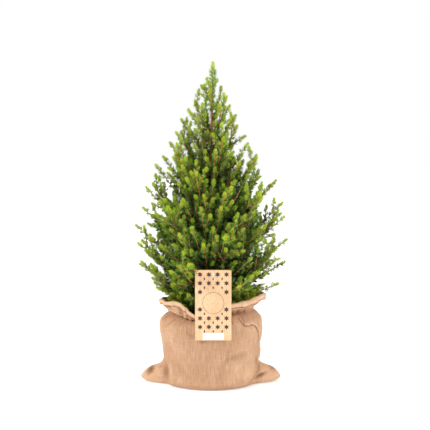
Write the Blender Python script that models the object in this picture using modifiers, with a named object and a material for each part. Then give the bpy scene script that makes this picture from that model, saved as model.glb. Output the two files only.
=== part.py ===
"""A dwarf spruce in a round plant pot that stands in a jute sack, with a hanging card.

Run with: blender --background --python part.py
Units are metres, +Z is up. The origin is the middle of the sack's flat underside.
"""

import math
import random

import bmesh
import bpy
from mathutils import Matrix, Vector

# ---------------------------------------------------------------- driving sizes
TREE_TOP = 0.650
GAP = 0.0003  # running clearance between neighbouring solids

POT_RIM_RADIUS = 0.095
POT_FOOT_RADIUS = 0.070
POT_HEIGHT = 0.1275
POT_WALL = 0.0018
POT_LIP = 0.012  # height of the rolled band under the pot's rim
POT_LIP_STEP = 0.002
POT_FOOT_CHAMFER = 0.002
SOIL_BELOW_RIM = 0.012
SOIL_CROWN = 0.003
SOIL_SIDE_GAP = 0.0009  # measured level, so 0.3 mm or more square to the pot's sloping side

CLOTH = 0.0020  # thickness of the sack's doubled, crumpled jute
EAR_REACH = 0.042  # how far the sack's bottom corners stand out past its body
EAR_HALF_ANGLE = math.radians(28)
EAR_PROFILE = ((0.000, 0.93), (0.010, 1.00), (0.020, 0.86), (0.029, 0.62), (0.035, 0.28), (0.042, 0.0))
SACK_COLUMNS = 40
GATHERS = 10
GATHER_DEPTH = 0.0032
WING_LEAN = 0.009  # how much further the mouth's sides lean out than its front and back
NECK_HEIGHT = 0.143

# radius and height of the sack's side, from the ground to the neck, without its corners
SACK_SIDE = (
    (0.100, 0.000),
    (0.102, 0.009),
    (0.101, 0.019),
    (0.099, 0.029),
    (0.098, 0.042),
    (0.100, 0.072),
    (0.105, 0.107),
    (0.103, 0.128),
    (0.095, 0.136),
    (0.087, NECK_HEIGHT),
)
MOUTH_FLARE = (0.093, 0.100, 0.105)  # radii of the three rows above the neck

# the sack's mouth: bearing in degrees from the front, positive to the right, and its height
MOUTH_RIM = (
    (-180, 0.170),
    (-120, 0.169),
    (-90, 0.171),
    (-60, 0.170),
    (-34, 0.170),
    (-24, 0.158),
    (-15, 0.149),
    (11, 0.150),
    (21, 0.168),
    (40, 0.173),
    (52, 0.178),
    (67, 0.182),
    (90, 0.176),
    (112, 0.181),
    (140, 0.179),
    (180, 0.170),
)

CARD_WIDTH = 0.071
CARD_HEIGHT = 0.1385
CARD_THICK = 0.0008
CARD_CORNER = 0.0022
CARD_FOOT = 0.1025  # height of the card's lower edge
CARD_SIDEWAYS = 0.0048
CARD_BACK = -(max(radius for radius, _ in SACK_SIDE) + GAP)  # it hangs against the sack's front
CARD_HOLE_RADIUS = 0.0022
CARD_HOLE_BELOW_TOP = 0.0075
STRING_RADIUS = 0.0007
STRING_SAG = 0.006
KNOT_RADIUS = 0.0030
KNOT_LENGTH = 0.0038
WRAP_TURN = math.radians(315)
WRAP_STEPS = 7
TIE_HEIGHT = 0.2475  # where the string goes round the trunk, between two boughs

TRUNK_FOOT = POT_HEIGHT + CLOTH + GAP - SOIL_BELOW_RIM + SOIL_CROWN + GAP
TRUNK_TOP = 0.592
TRUNK_RADII = (  # height above the trunk's foot as a share of its length, radius
    (0.00, 0.0125),
    (0.02, 0.0098),
    (0.06, 0.0082),
    (0.25, 0.0068),
    (0.50, 0.0054),
    (0.75, 0.0038),
    (0.90, 0.0025),
    (1.00, 0.0015),
)
TRUNK_STATIONS = (0.0, 0.02, 0.06, 0.15, 0.25, 0.37, 0.50, 0.62, 0.75, 0.90, 1.0)
TRUNK_LEAN = 0.004
TRUNK_BOW = 0.0024

# height above the ground and reach from the stem of the crown's outer shoot tips
CROWN_OUTLINE = (
    (0.172, 0.104),
    (0.200, 0.130),
    (0.235, 0.148),
    (0.265, 0.153),
    (0.315, 0.153),
    (0.355, 0.146),
    (0.400, 0.132),
    (0.440, 0.106),
    (0.485, 0.082),
    (0.530, 0.056),
    (0.560, 0.040),
    (0.602, 0.024),
    (0.650, 0.004),
)
# height of a branch's tip and how steeply it climbs to it, in degrees above level
CLIMB = ((0.190, 24), (0.240, 34), (0.316, 43), (0.400, 51), (0.485, 58), (0.600, 64))

BRANCHES = 32
BARE_BOUGHS = 21  # the lowest branches are long enough to show a bare bough
TOP_TIP = 0.606
LOW_TIP = 0.196
GOLDEN_ANGLE = math.radians(137.508)
FIRST_AZIMUTH = math.radians(135)
SEED = 7
BOUGH_END = 0.42  # share of a branch that is a bare bough
BOUGH_TIP_RADIUS = 0.0011
BOUGH_STOUTNESS = 0.0105  # radius that a branch gains for each metre of its length
BOUGH_TAPER = 0.68
SIDE_SHOOT_SPACING = 0.016
SIDE_SHOOT_ANGLE = math.radians(38)
SIDE_SHOOT_LENGTH = 0.060
SIDE_SHOOT_TURNS = tuple(math.radians(turn) for turn in (0, 60, -60, 120, -120, 180))
OWN_SPACING = 1.7  # between the tips of one mass, in shoot radii
SHORTEST_SHOOT = 0.024
SHOOTS_RISE = 0.12  # how strongly side shoots turn up to the light
LEADING_SHOOT = 0.062
LEAD_SHARE = 0.55  # most of a branch that its leading shoot can take up
NEEDLE_REACH = 0.0112
SPRAY_CORE = 0.0032
TWIG_RADIUS = 0.0014
NEEDLE_BAND = 0.0125  # length of shoot that each round of needles takes
NEEDLE_TWIST = math.radians(42)
NEEDLE_FORWARD = 0.65
NEEDLE_LENGTHS = ((0.2, 0.75), (0.45, 1.0), (0.75, 0.95), (1.0, 0.5))  # along a shoot, as shares
BARE_FOOT = 0.20  # share of a shoot, from its foot, without needles
STEM_ROOM = 0.0034  # room kept free along every bough and stem
BOUGH_SEGMENTS = 4
STEM_SEGMENTS = 3

JUTE = ("jute", (0.66, 0.42, 0.24), 0.95)
PLASTIC = ("pot_plastic", (0.035, 0.035, 0.038), 0.55)
PEAT = ("peat", (0.060, 0.036, 0.022), 1.0)
BARK = ("bark", (0.42, 0.21, 0.09), 0.85)
NEEDLES = ("needles", (0.115, 0.240, 0.055), 0.6)
KRAFT = ("kraft_card", (0.80, 0.58, 0.34), 0.85)
COTTON = ("cotton", (0.86, 0.82, 0.72), 0.9)


# ---------------------------------------------------------------- small helpers
def between(table, at):
    """Straight-line value of a (position, value) table, held level past its ends."""
    if at <= table[0][0]:
        return table[0][1]
    for (low, first), (high, second) in zip(table, table[1:]):
        if at <= high:
            return first + (second - first) * (at - low) / (high - low)
    return table[-1][1]


def material(finish):
    name, colour, roughness = finish
    made = bpy.data.materials.get(name)
    if made is None:
        made = bpy.data.materials.new(name)
        made.use_nodes = True
        shader = made.node_tree.nodes["Principled BSDF"]
        shader.inputs["Base Color"].default_value = (*colour, 1.0)
        shader.inputs["Roughness"].default_value = roughness
    return made


def object_of(name, mesh, finish, collection):
    made = bpy.data.objects.new(name, mesh)
    mesh.materials.clear()
    mesh.materials.append(material(finish))
    collection.objects.link(made)
    return made


def object_from_bmesh(name, shape, finish, collection):
    mesh = bpy.data.meshes.new(name)
    shape.to_mesh(mesh)
    shape.free()
    return object_of(name, mesh, finish, collection)


def mesh_of_curve(curve):
    """A curve object's tube as a welded mesh; the curve is removed."""
    bpy.context.view_layer.update()
    graph = bpy.context.evaluated_depsgraph_get()
    mesh = bpy.data.meshes.new_from_object(curve.evaluated_get(graph))
    shape = bmesh.new()
    shape.from_mesh(mesh)
    bmesh.ops.remove_doubles(shape, verts=shape.verts, dist=1e-6)
    shape.to_mesh(mesh)
    shape.free()
    bpy.data.objects.remove(curve)
    return mesh


def limb(name, points, radii, roundness, finish, collection):
    """A tapering round limb along points. roundness is the curve's bevel resolution."""
    data = bpy.data.curves.new(name, "CURVE")
    data.dimensions = "3D"
    data.bevel_depth = 1.0
    data.bevel_resolution = roundness
    data.use_fill_caps = True
    spline = data.splines.new("POLY")
    spline.points.add(len(points) - 1)
    for place, point, radius in zip(spline.points, points, radii):
        place.co = (*point, 1.0)
        place.radius = radius
    curve = bpy.data.objects.new(name, data)
    collection.objects.link(curve)
    return object_of(name, mesh_of_curve(curve), finish, collection)


def apply_boolean(target, operation, other=None, group=None):
    """Cuts or joins, exactly, with one object or with a whole collection."""
    modifier = target.modifiers.new(operation.lower(), "BOOLEAN")
    modifier.operation = operation
    modifier.solver = "EXACT"
    if group is None:
        modifier.object = other
    else:
        modifier.operand_type = "COLLECTION"
        modifier.collection = group
    with bpy.context.temp_override(object=target, active_object=target):
        bpy.ops.object.modifier_apply(modifier=modifier.name)


def joined(name, pieces, finish, collection):
    """One solid from overlapping pieces, by one union on a collection."""
    first, *rest = pieces
    group = bpy.data.collections.new(name + "_pieces")
    bpy.context.scene.collection.children.link(group)
    for piece in rest:
        for holder in list(piece.users_collection):
            holder.objects.unlink(piece)
        group.objects.link(piece)
    if rest:
        apply_boolean(first, "UNION", group=group)
    for piece in rest:
        bpy.data.objects.remove(piece)
    bpy.data.collections.remove(group)
    first.name = name
    first.data.name = name
    first.data.materials.clear()
    first.data.materials.append(material(finish))
    return first


def turned(name, profile, steps, finish, collection):
    """A turned solid: profile is (radius, height) from the axis over the top and back."""
    shape = bmesh.new()
    points = [shape.verts.new((radius, 0.0, height)) for radius, height in profile]
    for start, end in zip(points, points[1:]):
        shape.edges.new((start, end))
    made = object_from_bmesh(name, shape, finish, collection)
    screw = made.modifiers.new("turn", "SCREW")
    screw.steps = steps
    screw.render_steps = steps
    screw.use_merge_vertices = True
    screw.merge_threshold = 1e-5
    return made


# ---------------------------------------------------------------- pot and soil
def pot(collection):
    """A plain round nursery pot that stands on the sack's floor."""
    floor = CLOTH + GAP
    rim = floor + POT_HEIGHT
    lip_foot = rim - POT_LIP
    body = POT_RIM_RADIUS - POT_LIP_STEP
    profile = (
        (0.0, floor + POT_WALL),
        (POT_FOOT_RADIUS - POT_WALL, floor + POT_WALL),
        (body - POT_WALL, lip_foot),
        (POT_RIM_RADIUS - POT_WALL, rim),
        (POT_RIM_RADIUS, rim),
        (POT_RIM_RADIUS, lip_foot),
        (body, lip_foot),
        (POT_FOOT_RADIUS + POT_FOOT_CHAMFER / 3, floor + POT_FOOT_CHAMFER),
        (POT_FOOT_RADIUS - POT_FOOT_CHAMFER, floor),
        (0.0, floor),
    )
    return turned("pot", profile, 32, PLASTIC, collection)


def soil(collection):
    """Potting peat that fills the pot to a little below its rim, level where the trunk stands."""
    foot = CLOTH + GAP + POT_WALL + GAP
    edge = CLOTH + GAP + POT_HEIGHT - SOIL_BELOW_RIM
    inset = POT_WALL + SOIL_SIDE_GAP
    edge_radius = POT_RIM_RADIUS - POT_LIP_STEP - inset
    profile = (
        (0.0, edge + SOIL_CROWN),
        (TRUNK_RADII[0][1] * 1.6, edge + SOIL_CROWN),
        (edge_radius * 0.75, edge + SOIL_CROWN / 3),
        (edge_radius, edge - SOIL_CROWN / 2),
        (POT_FOOT_RADIUS - inset, foot),
        (0.0, foot),
    )
    return turned("soil", profile, 32, PEAT, collection)


# ---------------------------------------------------------------- sack
def ear_bulge(angle, height):
    """How far a bottom corner of the sack stands out at this bearing and height."""
    off_axis = min(abs(math.remainder(angle, math.pi)) / EAR_HALF_ANGLE, 1.0)
    narrowing = 2.0 + height / 0.012
    return EAR_REACH * between(EAR_PROFILE, height) * math.cos(off_axis * math.pi / 2) ** narrowing


def mouth_height(angle):
    """Height of the sack's rim: low in front, drawn up at the back and both sides."""
    bearing = math.degrees(math.remainder(angle + math.pi / 2, math.tau))
    return between(MOUTH_RIM, bearing)


def sack_rows(angle):
    """The sack's side at one bearing, as (radius, height) from the ground to the rim."""
    rows = [(radius + ear_bulge(angle, height), height) for radius, height in SACK_SIDE]
    rim = mouth_height(angle)
    fold = math.cos(GATHERS * angle)
    for number, radius in enumerate(MOUTH_FLARE, start=1):
        share = number / len(MOUTH_FLARE)
        height = NECK_HEIGHT + (rim - NECK_HEIGHT) * share
        lean = WING_LEAN * share * math.cos(angle) ** 2
        rows.append((radius + lean - GATHER_DEPTH * (1 - fold) / 2, height))
    return rows


def sack(collection):
    """The jute sack: an open lofted skin, given its thickness inwards."""
    shape = bmesh.new()
    bearings = [math.tau * step / SACK_COLUMNS for step in range(SACK_COLUMNS)]
    columns = []
    for angle in bearings:
        column = [
            shape.verts.new((radius * math.cos(angle), radius * math.sin(angle), height))
            for radius, height in sack_rows(angle)
        ]
        columns.append(column)
    for left, right in zip(columns, columns[1:] + columns[:1]):
        for row in range(len(left) - 1):
            shape.faces.new((left[row], right[row], right[row + 1], left[row + 1]))
    foot = shape.faces.new([column[0] for column in reversed(columns)])
    bmesh.ops.poke(shape, faces=[foot])
    made = object_from_bmesh("sack", shape, JUTE, collection)
    wall = made.modifiers.new("cloth", "SOLIDIFY")
    wall.thickness = CLOTH
    wall.offset = -1.0
    return made


# ---------------------------------------------------------------- card and its string
def hole_height():
    return CARD_FOOT + CARD_HEIGHT - CARD_HOLE_BELOW_TOP


def card(collection):
    """A stiff card with a punched hole, standing upright against the sack's front."""
    data = bpy.data.curves.new("card", "CURVE")
    data.dimensions = "2D"
    data.fill_mode = "BOTH"
    data.extrude = CARD_THICK / 2
    half_w, half_h, corner = CARD_WIDTH / 2, CARD_HEIGHT / 2, CARD_CORNER
    edge = []
    for quarter, (side, end) in enumerate(((1, 1), (-1, 1), (-1, -1), (1, -1))):
        for step in range(3):
            turn = (quarter + step / 2) * math.pi / 2
            across = side * (half_w - corner) + corner * math.cos(turn)
            up = end * (half_h - corner) + corner * math.sin(turn)
            edge.append((across, up))
    hole_at = half_h - CARD_HOLE_BELOW_TOP
    ring = []
    for step in range(12):
        turn = math.tau * step / 12
        ring.append((CARD_HOLE_RADIUS * math.cos(turn), hole_at + CARD_HOLE_RADIUS * math.sin(turn)))
    for outline in (edge, ring):
        spline = data.splines.new("POLY")
        spline.points.add(len(outline) - 1)
        spline.use_cyclic_u = True
        for place, (x, y) in zip(spline.points, outline):
            place.co = (x, y, 0.0, 1.0)
    flat = bpy.data.objects.new("card", data)
    collection.objects.link(flat)
    mesh = mesh_of_curve(flat)
    middle = Vector((CARD_SIDEWAYS, CARD_BACK - CARD_THICK / 2, CARD_FOOT + half_h))
    mesh.transform(Matrix.Translation(middle) @ Matrix.Rotation(math.pi / 2, 4, "X"))
    return object_of("card", mesh, KRAFT, collection)


def string_route():
    """From a knot before the card, through its hole, back to the trunk and round it."""
    hole = Vector((CARD_SIDEWAYS, CARD_BACK - CARD_THICK / 2, hole_height()))
    knot_back = -(CARD_THICK / 2 + GAP)
    points = []
    radii = []
    for share, radius in ((1.0, 0.5), (0.8, 1.0), (0.3, 1.0), (0.0, 0.5)):
        points.append(hole + Vector((0, knot_back - KNOT_LENGTH * share, 0)))
        radii.append(KNOT_RADIUS * radius)
    tie = trunk_axis(TIE_HEIGHT)
    ring = trunk_radius(TIE_HEIGHT) + STRING_RADIUS + 2 * GAP
    first = hole + Vector((0, CARD_THICK * 4, 0))
    touch = tie + Vector((-ring, 0, 0))
    for step in range(6):
        share = step / 5
        sag = Vector((0, 0, -STRING_SAG * math.sin(math.pi * share)))
        points.append(first.lerp(touch, share) + sag)
    for step in range(1, WRAP_STEPS + 1):
        turn = math.pi - WRAP_TURN * step / WRAP_STEPS
        points.append(tie + Vector((math.cos(turn), math.sin(turn), 0)) * ring)
    radii += [STRING_RADIUS] * (len(points) - len(radii))
    return points, radii


def card_string(collection):
    points, radii = string_route()
    return limb("card_string", points, radii, 2, COTTON, collection)


# ---------------------------------------------------------------- the tree's rule
def trunk_axis(height):
    """Middle of the trunk at a height: upright at the soil, with one slight bow and lean."""
    share = (height - TRUNK_FOOT) / (TREE_TOP - TRUNK_FOOT)
    bow = math.sin(math.pi * share) ** 2
    return Vector((TRUNK_LEAN * share**2 - TRUNK_BOW * bow, 0.6 * TRUNK_BOW * bow, height))


def trunk_radius(height):
    return between(TRUNK_RADII, (height - TRUNK_FOOT) / (TRUNK_TOP - TRUNK_FOOT))


def crown_reach(height):
    return between(CROWN_OUTLINE, height)


class Branch:
    """One bough and the foliage it carries: a path from the trunk out to the crown's skin."""

    def __init__(self, number):
        dice = random.Random(SEED * 1000 + number)
        share = number / (BRANCHES - 1)
        self.number = number
        self.dice = dice
        self.lead = None
        self.shoots = []
        tip_height = TOP_TIP - (TOP_TIP - LOW_TIP) * share**1.08
        azimuth = FIRST_AZIMUTH + number * GOLDEN_ANGLE + dice.uniform(-0.12, 0.12)
        reach = crown_reach(tip_height) * dice.uniform(0.94, 1.0)
        climb = math.radians(between(CLIMB, tip_height) + dice.uniform(-3, 3))
        outward = Vector((math.cos(azimuth), math.sin(azimuth), 0))
        foot = max(tip_height - reach * math.tan(climb), TRUNK_FOOT + 0.010)
        self.start = trunk_axis(foot)
        self.end = Vector((outward.x * reach, outward.y * reach, tip_height))
        rise = tip_height - foot
        self.bend = self.start + outward * reach * 0.56 + Vector((0, 0, rise * 0.42))
        self.length = sum(
            (self.at((step + 1) / 8) - self.at(step / 8)).length for step in range(8)
        )

    def at(self, share):
        rest = 1 - share
        return self.start * rest**2 + self.bend * (2 * rest * share) + self.end * share**2

    def heading(self, share):
        return ((self.bend - self.start) * (1 - share) + (self.end - self.bend) * share).normalized()

    def radius(self, share):
        return (BOUGH_TIP_RADIUS + BOUGH_STOUTNESS * self.length) * (1 - BOUGH_TAPER * share)

    def has_bough(self):
        return self.number >= BRANCHES - BARE_BOUGHS

    def side_shoots(self):
        """Where side shoots may grow: a foot and its possible tips, the outermost foot first."""
        first = 0.48 if self.has_bough() else 0.32
        count = max(1, round((0.90 - first) * self.length / SIDE_SHOOT_SPACING))
        found = []
        for number in range(count):
            share = 0.90 - (0.90 - first) * number / count
            foot = self.at(share)
            heading = self.heading(share)
            across = heading.cross(Vector((0, 0, 1))).normalized()
            upward = across.cross(heading).normalized()
            turn = self.number + number * GOLDEN_ANGLE
            angle = SIDE_SHOOT_ANGLE + self.dice.uniform(-0.12, 0.12)
            size = SIDE_SHOOT_LENGTH * min(1.0, 0.35 + self.length / 0.20)
            size *= (1.15 - 0.45 * share) * self.dice.uniform(0.85, 1.1)
            tips = []
            for other in SIDE_SHOOT_TURNS:
                aside = across * math.cos(turn + other) + upward * math.sin(turn + other)
                direction = heading * math.cos(angle) + aside * math.sin(angle)
                direction = (direction + Vector((0, 0, SHOOTS_RISE))).normalized()
                tips.append(foot + direction * size)
            found.append((foot, tips))
        return found


def segment_distance(a, b, c, d):
    """Shortest distance between the segments a-b and c-d."""
    u, v, w = b - a, d - c, a - c
    uu, uv, vv = u.dot(u), u.dot(v), v.dot(v)
    uw, vw = u.dot(w), v.dot(w)
    crossing = uu * vv - uv * uv
    s = 0.0 if crossing < 1e-12 else min(1.0, max(0.0, (uv * vw - vv * uw) / crossing))
    t = (uv * s + vw) / vv if vv > 1e-12 else 0.0
    if not 0.0 <= t <= 1.0:
        t = min(1.0, max(0.0, t))
        s = min(1.0, max(0.0, (uv * t - uw) / uu)) if uu > 1e-12 else 0.0
    return (w + u * s - v * t).length


class Space:
    """The room that limbs and shoots already take, so that each mass keeps to its own."""

    def __init__(self):
        self.taken = []

    def take(self, owner, start, end, radius):
        self.taken.append((owner, start, end, radius))

    def is_free(self, owner, start, end, radius):
        """True if a needled shoot is clear of other masses and its tip of its own mass's tips."""
        for other, first, second, thick in self.taken:
            if other != owner:
                if segment_distance(start, end, first, second) < radius + thick + 2 * GAP:
                    return False
            elif thick > STEM_ROOM and (end - second).length < radius * OWN_SPACING:
                return False
        return True


def clear_of_sack_and_card(start, end, radius):
    """True if a shoot stays inside the crown, over the sack's mouth and behind the card."""
    for step in range(5):
        point = start.lerp(end, step / 4)
        out = math.hypot(point.x, point.y)
        if out + radius > 0.081 and point.z - radius < mouth_height(math.atan2(point.y, point.x)) + 0.002:
            return False
        if point.z - radius < TRUNK_FOOT:
            return False
        beside_card = abs(point.x - CARD_SIDEWAYS) < CARD_WIDTH / 2 + radius
        if beside_card and point.z - radius < CARD_FOOT + CARD_HEIGHT and point.y - radius < CARD_BACK + 0.001:
            return False
    return math.hypot(end.x, end.y) <= crown_reach(end.z) + 0.002


def needle_reach(length):
    return NEEDLE_REACH * min(1.0, 0.45 + length / 0.09)


def fitted_shoot(space, owner, foot, tips):
    """The longest shoot from a foot that has room, or None."""
    for share in (1.0, 0.85, 0.7, 0.55):
        for tip in tips:
            end = foot.lerp(tip, share)
            radius = needle_reach((end - foot).length)
            sleeve = foot.lerp(end, BARE_FOOT)
            if (
                (end - foot).length > SHORTEST_SHOOT
                and clear_of_sack_and_card(sleeve, end, radius)
                and space.is_free(owner, sleeve, end, radius)
            ):
                return end
    return None


def leading_shoot(space, branch):
    """The straight shoot at a branch's tip, as (foot, tip), no longer than it has room for."""
    for share in (1.0, 0.85, 0.7, 0.55):
        length = share * min(LEADING_SHOOT, branch.length * LEAD_SHARE)
        foot = branch.at(1.0 - length / branch.length)
        if space.is_free(branch.number, foot.lerp(branch.end, BARE_FOOT), branch.end, needle_reach(length)):
            break
    return foot, branch.end


def plan_crown():
    """Every branch with the shoots that have room, worked out from the tips inwards."""
    space = Space()
    heights = [TRUNK_FOOT + (TRUNK_TOP - TRUNK_FOOT) * step / 12 for step in range(13)]
    for low, high in zip(heights, heights[1:]):
        space.take("trunk", trunk_axis(low), trunk_axis(high), trunk_radius(low))
    leader = (trunk_axis(TRUNK_TOP), trunk_axis(TREE_TOP))
    space.take("leader", leader[0].lerp(leader[1], BARE_FOOT), leader[1], needle_reach(TREE_TOP - TRUNK_TOP))
    route, radii = string_route()
    for start, end, radius in zip(route, route[1:], radii):
        space.take("card_string", start, end, max(radius, 0.0012))
    branches = [Branch(number) for number in range(BRANCHES)]
    for branch in branches:
        points = [branch.at(0.08 + 0.92 * step / 8) for step in range(9)]
        for start, end in zip(points, points[1:]):
            space.take(branch.number, start, end, STEM_ROOM)
    for branch in branches:
        branch.lead = leading_shoot(space, branch)
        foot, tip = branch.lead
        space.take(branch.number, foot.lerp(tip, BARE_FOOT), tip, needle_reach((tip - foot).length))
    waiting = [
        (order, branch, place)
        for branch in branches
        for order, place in enumerate(branch.side_shoots())
    ]
    waiting.sort(key=lambda item: (item[0], item[1].number))
    for _, branch, (foot, tips) in waiting:
        end = fitted_shoot(space, branch.number, foot, tips)
        if end is not None:
            space.take(branch.number, foot.lerp(end, BARE_FOOT), end, needle_reach((end - foot).length))
            branch.shoots.append((foot, end))
    return branches


# ---------------------------------------------------------------- trunk, boughs and foliage
def trunk(collection, name="trunk", extra=0.0):
    """The trunk, or with extra a fatter copy that cuts its clearance."""
    heights = [TRUNK_FOOT + (TRUNK_TOP - TRUNK_FOOT) * share for share in TRUNK_STATIONS]
    points = [trunk_axis(height) for height in heights]
    radii = [trunk_radius(height) + extra for height in heights]
    return limb(name, points, radii, 2, BARK, collection)


def spray(foot, tip, root_radius, collection):
    """A needled shoot: a slim core whose faces are drawn out and forwards into needles."""
    length = (tip - foot).length
    reach = needle_reach(length)
    bands = max(4, round(length / NEEDLE_BAND))
    core = ((0.0, root_radius), (BARE_FOOT, SPRAY_CORE), (0.8, SPRAY_CORE), (1.0, SPRAY_CORE * 0.3))
    shape = bmesh.new()
    bmesh.ops.create_cone(shape, cap_ends=True, segments=3, radius1=1, radius2=1, depth=1)
    rails = [edge for edge in shape.edges if abs(edge.verts[0].co.z - edge.verts[1].co.z) > 0.5]
    bmesh.ops.subdivide_edges(shape, edges=rails, cuts=bands - 1)
    for corner in shape.verts:
        share = corner.co.z + 0.5
        radius = between(core, share)
        turn = Matrix.Rotation(share * bands * NEEDLE_TWIST, 3, "Z")
        corner.co = turn @ Vector((corner.co.x * radius, corner.co.y * radius, share * length))
    needled = [
        face
        for face in shape.faces
        if len(face.verts) == 4 and face.calc_center_median().z > length * BARE_FOOT
    ]
    for point in bmesh.ops.poke(shape, faces=needled)["verts"]:
        needle = reach * between(NEEDLE_LENGTHS, point.co.z / length)
        outward = Vector((point.co.x, point.co.y, 0)).normalized()
        point.co = outward * needle + Vector((0, 0, point.co.z + needle * NEEDLE_FORWARD))
    swing = Vector((0, 0, 1)).rotation_difference(tip - foot).to_matrix().to_4x4()
    bmesh.ops.transform(shape, matrix=Matrix.Translation(foot) @ swing, verts=shape.verts)
    return object_from_bmesh("spray", shape, NEEDLES, collection)


def bough(branch, cutter, collection):
    """One bare tapering bough, from 0.3 mm off the trunk to where its foliage begins."""
    steps = [BOUGH_END * step / BOUGH_SEGMENTS for step in range(BOUGH_SEGMENTS + 1)]
    points = [branch.at(step) for step in steps]
    radii = [branch.radius(step) for step in steps]
    made = limb(f"bough_{branch.number + 1:02d}", points, radii, 1, BARK, collection)
    apply_boolean(made, "DIFFERENCE", cutter)
    return made


def foliage(branch, cutter, collection):
    """A branch's needled shoots, fused on one stem that carries on from its bough."""
    name = f"foliage_{branch.number + 1:02d}"
    start = BOUGH_END + GAP / branch.length if branch.has_bough() else 0.0
    lead_foot, lead_tip = branch.lead
    finish = 1.0 - (lead_tip - lead_foot).length * (1 - BARE_FOOT) / branch.length
    steps = [start + (finish - start) * step / STEM_SEGMENTS for step in range(STEM_SEGMENTS + 1)]
    radii = [branch.radius(step) for step in steps]
    pieces = [limb(name, [branch.at(step) for step in steps], radii, 0, NEEDLES, collection)]
    for foot, tip in [branch.lead, *branch.shoots]:
        pieces.append(spray(foot, tip, TWIG_RADIUS, collection))
    made = joined(name, pieces, NEEDLES, collection)
    if not branch.has_bough():
        apply_boolean(made, "DIFFERENCE", cutter)
    return made


def leader_foliage(collection):
    """The upright leading shoot that carries the trunk on to the tree's top."""
    foot = trunk_axis(TRUNK_TOP + GAP)
    made = spray(foot, trunk_axis(TREE_TOP), TRUNK_RADII[-1][1], collection)
    made.name = "leader_foliage"
    return made


def main():
    for old in list(bpy.data.objects):
        bpy.data.objects.remove(old)
    scene = bpy.context.scene.collection
    parts = bpy.data.collections.new("potted_spruce")
    cutters = bpy.data.collections.new("cutters")
    scene.children.link(parts)
    scene.children.link(cutters)

    pot(parts)
    soil(parts)
    sack(parts)
    card(parts)
    card_string(parts)
    trunk(parts)
    clearance = trunk(cutters, "trunk_clearance", GAP)
    clearance.display_type = "WIRE"
    clearance.hide_render = True
    leader_foliage(parts)
    for branch in plan_crown():
        if branch.has_bough():
            bough(branch, clearance, parts)
        foliage(branch, clearance, parts)


main()
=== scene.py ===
"""The finish of a dwarf spruce in a plant pot that stands in a jute sack, with a hanging card.

Units are metres, +Z is up, and the front of the sack faces -Y.
"""

import math
import random

import bpy
import numpy as np
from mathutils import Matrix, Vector, noise


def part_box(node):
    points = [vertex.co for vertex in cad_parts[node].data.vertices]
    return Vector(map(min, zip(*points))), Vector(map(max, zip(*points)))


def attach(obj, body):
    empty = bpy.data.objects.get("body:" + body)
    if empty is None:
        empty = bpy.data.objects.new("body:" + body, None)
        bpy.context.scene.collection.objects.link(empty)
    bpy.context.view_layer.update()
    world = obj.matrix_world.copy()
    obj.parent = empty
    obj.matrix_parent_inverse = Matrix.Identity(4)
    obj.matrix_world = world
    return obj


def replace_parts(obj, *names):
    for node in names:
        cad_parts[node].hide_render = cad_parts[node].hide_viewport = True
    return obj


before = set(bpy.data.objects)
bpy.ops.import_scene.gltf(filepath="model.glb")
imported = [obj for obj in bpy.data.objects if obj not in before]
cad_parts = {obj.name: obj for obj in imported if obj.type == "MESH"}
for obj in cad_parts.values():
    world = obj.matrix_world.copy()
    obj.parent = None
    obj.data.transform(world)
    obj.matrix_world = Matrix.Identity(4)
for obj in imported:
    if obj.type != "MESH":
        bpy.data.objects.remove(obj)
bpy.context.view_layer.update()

# ---------------------------------------------------------------- sizes of the frame
GAP = 0.0003

POT_HEIGHT = 0.1275
CLOTH = 0.0020
SOIL_BELOW_RIM = 0.012
SOIL_CROWN = 0.003

EAR_REACH = 0.042
EAR_HALF_ANGLE = math.radians(28)
EAR_PROFILE = ((0.000, 0.93), (0.010, 1.00), (0.020, 0.86), (0.029, 0.62), (0.035, 0.28), (0.042, 0.0))
GATHERS = 10
GATHER_DEPTH = 0.0032
WING_LEAN = 0.009
NECK_HEIGHT = 0.143
SACK_SIDE = (
    (0.100, 0.000),
    (0.102, 0.009),
    (0.101, 0.019),
    (0.099, 0.029),
    (0.098, 0.042),
    (0.100, 0.072),
    (0.105, 0.107),
    (0.103, 0.128),
    (0.095, 0.136),
    (0.087, NECK_HEIGHT),
)
MOUTH_FLARE = (0.093, 0.100, 0.105)
MOUTH_RIM = (
    (-180, 0.170),
    (-120, 0.169),
    (-90, 0.171),
    (-60, 0.170),
    (-34, 0.170),
    (-24, 0.158),
    (-15, 0.149),
    (11, 0.150),
    (21, 0.168),
    (40, 0.173),
    (52, 0.178),
    (67, 0.182),
    (90, 0.176),
    (112, 0.181),
    (140, 0.179),
    (180, 0.170),
)

CARD_WIDTH = 0.071
CARD_HEIGHT = 0.1385
CARD_THICK = 0.0008
CARD_FOOT = 0.1025
CARD_SIDEWAYS = 0.0048
CARD_BACK = -(max(radius for radius, _ in SACK_SIDE) + GAP)
CARD_HOLE_RADIUS = 0.0022
CARD_HOLE_BELOW_TOP = 0.0075
STRING_RADIUS = 0.0007
STRING_SAG = 0.006
KNOT_RADIUS = 0.0030
KNOT_LENGTH = 0.0038
WRAP_TURN = math.radians(315)
WRAP_STEPS = 7
TIE_HEIGHT = 0.2475

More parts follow.
